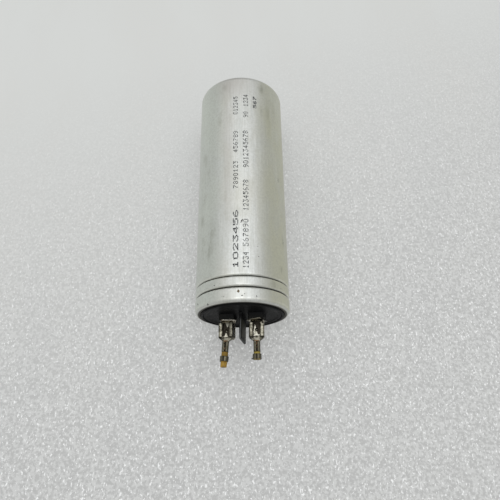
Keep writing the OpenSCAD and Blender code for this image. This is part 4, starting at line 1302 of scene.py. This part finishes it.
# %% The two receptacles
def dimple(drawn):
    """The dimple pressed in the back sheet, which stands in the tab's hole: a low dome of revolution,
    radius * sin and height * cos, laid over so that it faces the front."""
    a = np.radians(np.linspace(0, 90, 9))[::-1]
    section = np.stack([0.83 * np.sin(a), 0.76 * np.cos(a)], 1)
    points, faces = turned(np.vstack([[[0, -0.1]], [[0.83, -0.1]], section]), count=32)
    x, y, z = points.T
    laid = np.stack([x, BACK_Y - SHEET / 2 - z, y + DETENT_Z - drawn], 1)
    return laid, faces, np.clip(1 - 0.4 * z, 0, 1)


def torn_ear(bare):
    """A torn end of sheet that sticks out from the ears near their far end: a rounded slab a millimetre
    long, turned by 25 degrees about Z and moved to the ears' outside."""
    slab = [(0, 0.45, 0.12, 0.1), (0.06, 0.5, 0.18, 0.15), (0.4, 0.5, 0.18, 0.15), (0.46, 0.45, 0.12, 0.1)]
    points, faces = stacked(slab)
    x, y = swung(points[:, 0] + 0.42, points[:, 1], math.radians(-25))
    z = points[:, 2] + CRIMP_END + bare + CLAMP_L - 0.52
    return np.stack([CLAMP_R - 0.1 + x, WIRE_Y + y, z], 1), faces, np.full(len(points), 0.9)


def receptacle(name, side, bare, lean, drawn, extra=()):
    """All the lengths of one receptacle as one object, with its tarnish, which also holds painted shade,
    and its browning as attributes: the crimps have browned from the heat and damp of the wire."""
    parts = [grip(side), dimple(drawn), taper(), crimp(), joining_strip(bare), clamp(bare, side), *extra]
    points, faces = together([part[:2] for part in parts])
    thing = make_object(name, seated(points, side, lean, drawn), faces, smooth_angle=50)
    # The tarnish attribute holds painted shade as well.
    paint(thing, "tarnish", np.concatenate([part[2] for part in parts]))
    paint(thing, "browned", np.clip((points[:, 2] - CRIMP_Z + 0.35) / 0.7, 0, 1))
    shells.put_on(thing)
    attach(thing, "root")
    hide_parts(name.replace("_shell", ""))
    print(name, len(points), "points,", round(enclosed(points, faces), 1), "mm3 of sheet")


LEFT_BARE, RIGHT_BARE = 2.3, 1.2
LEFT_LEAN, RIGHT_DRAWN = 5.0, 0.6
receptacle("left_receptacle_shell", 1, LEFT_BARE, LEFT_LEAN, 0.0)
receptacle("right_receptacle_shell", -1, RIGHT_BARE, 0.0, RIGHT_DRAWN, [torn_ear(RIGHT_BARE)])

# %% [markdown]
# ## Wires
#
# Each wire is a bundle of nineteen thin strands in soft vinyl: one in the middle, six round it and
# twelve round those, laid in a slow twist. The crimp squeezes them flat, and their tips splay a little
# where they come out of it. The insulation is a tube with a cut, uneven end.

# %% Strands
STRAND_R, STRAND_SIDES = 0.19, 8
RING_R = 0.385, 0.745  # the six and the twelve stand this far from the middle one
TWIST = 14  # degrees a millimetre


def strands(bare, stub):
    """Nineteen tubes: each starts at a point of a hexagonal packing, turns by TWIST with the height, and
    is squeezed by a share that is 1 inside the crimp and 0 outside it."""
    six, twelve = arc((0, 0), RING_R[0], 0, 300, 6), arc((0, 0), RING_R[1], 15, 345, 12)
    packing = np.vstack([[[0.0, 0.0]], six, twelve])
    z = np.linspace(CRIMP_Z, CRIMP_END + bare + CLAMP_L + stub, 26)
    z = np.concatenate([[CRIMP_Z - 0.6, CRIMP_Z - 0.3], z])
    squeeze = ramp(z, CRIMP_END + 0.5, CRIMP_END)
    splay = 1 + 0.25 * ramp(z, CRIMP_Z, CRIMP_Z - 0.6)
    x, y = swung(*packing.T, np.radians(TWIST * (z - CRIMP_Z))[:, None])
    x *= (splay * (1 + 0.12 * squeeze))[:, None]
    y *= (splay * (1 - 0.3 * squeeze))[:, None]
    height = np.repeat(z[:, None], len(packing), 1)
    height[-1] += rng.uniform(-0.12, 0.0, len(packing))
    around = np.linspace(0, 2 * np.pi, STRAND_SIDES, endpoint=False)
    tubes = np.stack(np.broadcast_arrays(
        x.T[..., None] + STRAND_R * np.cos(around),
        y.T[..., None] + WIRE_Y + STRAND_R * np.sin(around),
        height.T[..., None],
    ), -1)
    first = list(range(STRAND_SIDES))
    faces = quads(len(z), STRAND_SIDES).tolist()
    faces += [first[::-1], [STRAND_SIDES * (len(z) - 1) + k for k in first]]
    return together([(tube.reshape(-1, 3), faces) for tube in tubes])

# %% [markdown]
# The insulation is a turned tube that is pinched by the ears. Its end was cut by hand, so it slants and
# isn't quite round.

# %% Insulation and the two wires
def insulation(bare, stub, wander):
    """A tube turned about the wire's axis, pinched where the ears hold it, with rounded ends that wander
    in height: its radius and end heights swing with the angle."""
    low, high = CRIMP_END + 0.17, CRIMP_END + bare + CLAMP_L + stub
    bore, skin_r, edge = STRANDS_D / 2 + 0.05, WIRE_D / 2 - 0.03, 0.15
    z = np.linspace(low + edge, high - edge, 30)
    held = np.exp(-((z - (CRIMP_END + bare + CLAMP_L / 2)) / (CLAMP_L * 0.52)) ** 8)
    outer = np.stack([skin_r - 0.05 * held, z], 1)
    section = np.vstack([
        [[bore, low]],
        arc((skin_r - edge, low + edge), edge, -90, 0, 5),
        outer[1:-1],
        arc((skin_r - edge, high - edge), edge, 0, 90, 5),
        [[bore, high], [bore, high - 0.6]],
    ])
    points, faces = turned(section, count=96, closed=True)
    x, y, z = points.T
    angle = np.arctan2(y, x)
    dent = 1 - 0.012 * (1 + np.sin(2 * angle + wander) + 0.5 * np.sin(5 * angle + z))
    skin = np.where(np.hypot(x, y) > bore + 0.2, dent, 1)
    slant = 0.07 * (np.sin(angle + wander) - 1) * ramp(z, high - 0.6, high)
    return np.stack([x * skin, y * skin + WIRE_Y, z + slant], 1), faces


def wire(side_name, side, bare, stub, lean, drawn, vinyl_finish):
    """The insulation and the strands of one wire, seated on the part."""
    for name, node, finish, shape in [
        ("_insulation_tube", "_wire_insulation", vinyl_finish, insulation(bare, stub, side)),
        ("_strand_bundle", "_wire_strands", copper, strands(bare, stub)),
    ]:
        thing = make_object(side_name + name, seated(shape[0], side, lean, drawn), shape[1], smooth_angle=50)
        finish.put_on(thing)
        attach(thing, "root")
        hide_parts(side_name + node)
        print(thing.name, len(shape[0]), "points,", round(enclosed(*shape), 1), "mm3")


wire("left", 1, LEFT_BARE, 2.8, LEFT_LEAN, 0.0, ochre)
wire("right", -1, RIGHT_BARE, 0.0, 0.0, RIGHT_DRAWN, yellow)

# %% [markdown]
# ## Stage
#
# The capacitor is shown lying on a pale speckled table, seen from above with its terminals towards the
# viewer. In the standing frame that table is an upright plane against the back of the can. Only the
# camera and reflections meet it, and only from the front, so light passes it from every side.

# %% Table
TURN = math.radians(-10.5)  # the part is turned this much about its axis on the table
MIDDLE = np.array([0, 0, 0.08])
TABLE_HALF = 3  # metres from its middle to each side


def on_table(right, up, out):
    """A place in metres given from the part's middle: right and up along the table as the camera sees
    it, and out from it."""
    x, y = swung(-right, -out, TURN)
    return MIDDLE + [x, y, -up]


signs = [(-1, -1), (1, -1), (1, 1), (-1, 1)]
corners = [on_table(TABLE_HALF * a, TABLE_HALF * b, -(CAN_R + 0.1) * MM) / MM for a, b in signs]
table = make_object("table", corners, [(0, 1, 2, 3)])
print("table corners in mm:", np.round(corners).tolist())

# %% [markdown]
# The table is painted darker towards the terminals and to one side as shade, and it is more speckled
# there, with bright sparkles painted on as glints. Part of its light is its own, so that it looks as pale
# as it would in a bright room, and the rest is lit, so that the can's shadow falls on it. For rays other
# than the camera's and reflected ones, and from behind, the mix makes it clear.

# %% The table's surface
surface = Finish("Pale speckled table", roughness=0.7)
surface.set("Specular IOR Level", 0.2)
place = surface.vector
speckle = noise(place, 620, 3, 0.6)
# Painted glints: bright sparkles, mostly near the terminals.
painted_glints = noise(stretched(place, (1.0, 1.0, 0.6)), 1150, 2)
mottle = noise(stretched(place, (1.0, 1.0, 0.3)), 22, 3)
# Painted shade: the table is darker towards the terminals and to one side.
near_and_shaded = span(plus(part_of(place, "Z"), times(part_of(place, "X"), -0.35)), -0.12, 0.22)
plain_tone = blend(near_and_shaded, (0.645, 0.655, 0.64), (0.535, 0.537, 0.53))
plain_tone = blend(span(mottle, 0.35, 0.65, 0.0, 0.35), plain_tone, (0.62, 0.62, 0.60))
rough_tone = blend(span(speckle, 0.40, 0.60), (0.44, 0.442, 0.435), (0.65, 0.655, 0.645))
tone = blend(times(near_and_shaded, 0.6), plain_tone, rough_tone)
tone = blend(times(near_and_shaded, span(painted_glints, 0.58, 0.70)), tone, (0.90, 0.905, 0.90))
surface.set("Emission Color", tone)
surface.set("Emission Strength", 0.42)
darker = new_node(surface.tree, "VectorMath", {0: tone})
darker.operation = "SCALE"
feed(darker.inputs["Scale"], 0.65)
surface.set("Base Color", darker.outputs[0])
seen = new_node(surface.tree, "LightPath", {}).outputs
back = new_node(surface.tree, "NewGeometry", {}).outputs["Backfacing"]
shown = plus(larger(seen["Is Camera Ray"], seen["Is Glossy Ray"]), times(back, -1.0))
clear = new_node(surface.tree, "BsdfTransparent", {}).outputs[0]
mix = new_node(surface.tree, "MixShader", {0: shown, 1: clear, 2: surface.shader.outputs[0]})
feed(surface.tree.nodes["Material Output"].inputs["Surface"], mix.outputs[0])
surface.put_on(table)

# %% [markdown]
# The room is an even grey world. One wide lamp lights it from above the table, and a smaller one near it
# gives the can its soft highlight.

# %% World and lamps
world = bpy.data.worlds.new("Studio")
bpy.context.scene.world = world
world.use_nodes = True
world.node_tree.nodes["Background"].inputs["Color"].default_value = (0.50, 0.505, 0.50, 1)
world.node_tree.nodes["Background"].inputs["Strength"].default_value = 1.0


def lamp(name, at, size, watts, colour=(1, 1, 1)):
    """A square area lamp that faces the part's middle."""
    light = bpy.data.lights.new(name, "AREA")
    light.size = size
    light.energy = watts
    light.color = colour
    thing = bpy.data.objects.new(name, light)
    bpy.context.scene.collection.objects.link(thing)
    thing.location = at
    thing.visible_camera = False
    thing.rotation_euler = Vector(MIDDLE - at).to_track_quat("-Z", "Y").to_euler()
    print("lamp:", name, watts, "W")


lamp("ceiling", on_table(-0.1, 0.2, 1.1), 2.2, 8.4)
lamp("window", on_table(0.02, -0.03, 1.1), 0.85, 1.9, (0.94, 0.98, 1.06))

bpy.context.scene.view_settings.view_transform = "Standard"

# %% [markdown]
# The camera stands out from the can beyond its terminals and looks down along it. It is rolled over by
# half a turn, so that the closed end is at the top of the picture, and is off square by a degree or so.

# %% Camera
CAMERA_DOWN, CAMERA_YAW, CAMERA_ROLL = (math.radians(a) for a in (23.85, 0.99, 0.33))
CAMERA_AT = np.array([0.32, -250.5, 213.9])  # in millimetres, before the part's turn

ahead, down = swung(np.array([0, 1.0, 0]), np.array([0, 0, 1.0]), CAMERA_DOWN)
ahead, across = swung(ahead, np.array([-1.0, 0, 0]), -CAMERA_YAW)
across, down = swung(across, down, -CAMERA_ROLL)
turned_by = np.array(Matrix.Rotation(TURN, 3, "Z"))
axes = turned_by @ np.stack([across, -down, -ahead], 1)

camera = bpy.data.cameras.new("camera")
camera.lens = 35.32
camera.sensor_width = 36.0
viewer = bpy.data.objects.new("camera", camera)
bpy.context.scene.collection.objects.link(viewer)
viewer.matrix_world = Matrix.LocRotScale(Vector(turned_by @ CAMERA_AT * MM), Matrix(axes.tolist()), None)
bpy.context.scene.camera = viewer
print("camera at", np.round(turned_by @ CAMERA_AT).tolist(), "mm")
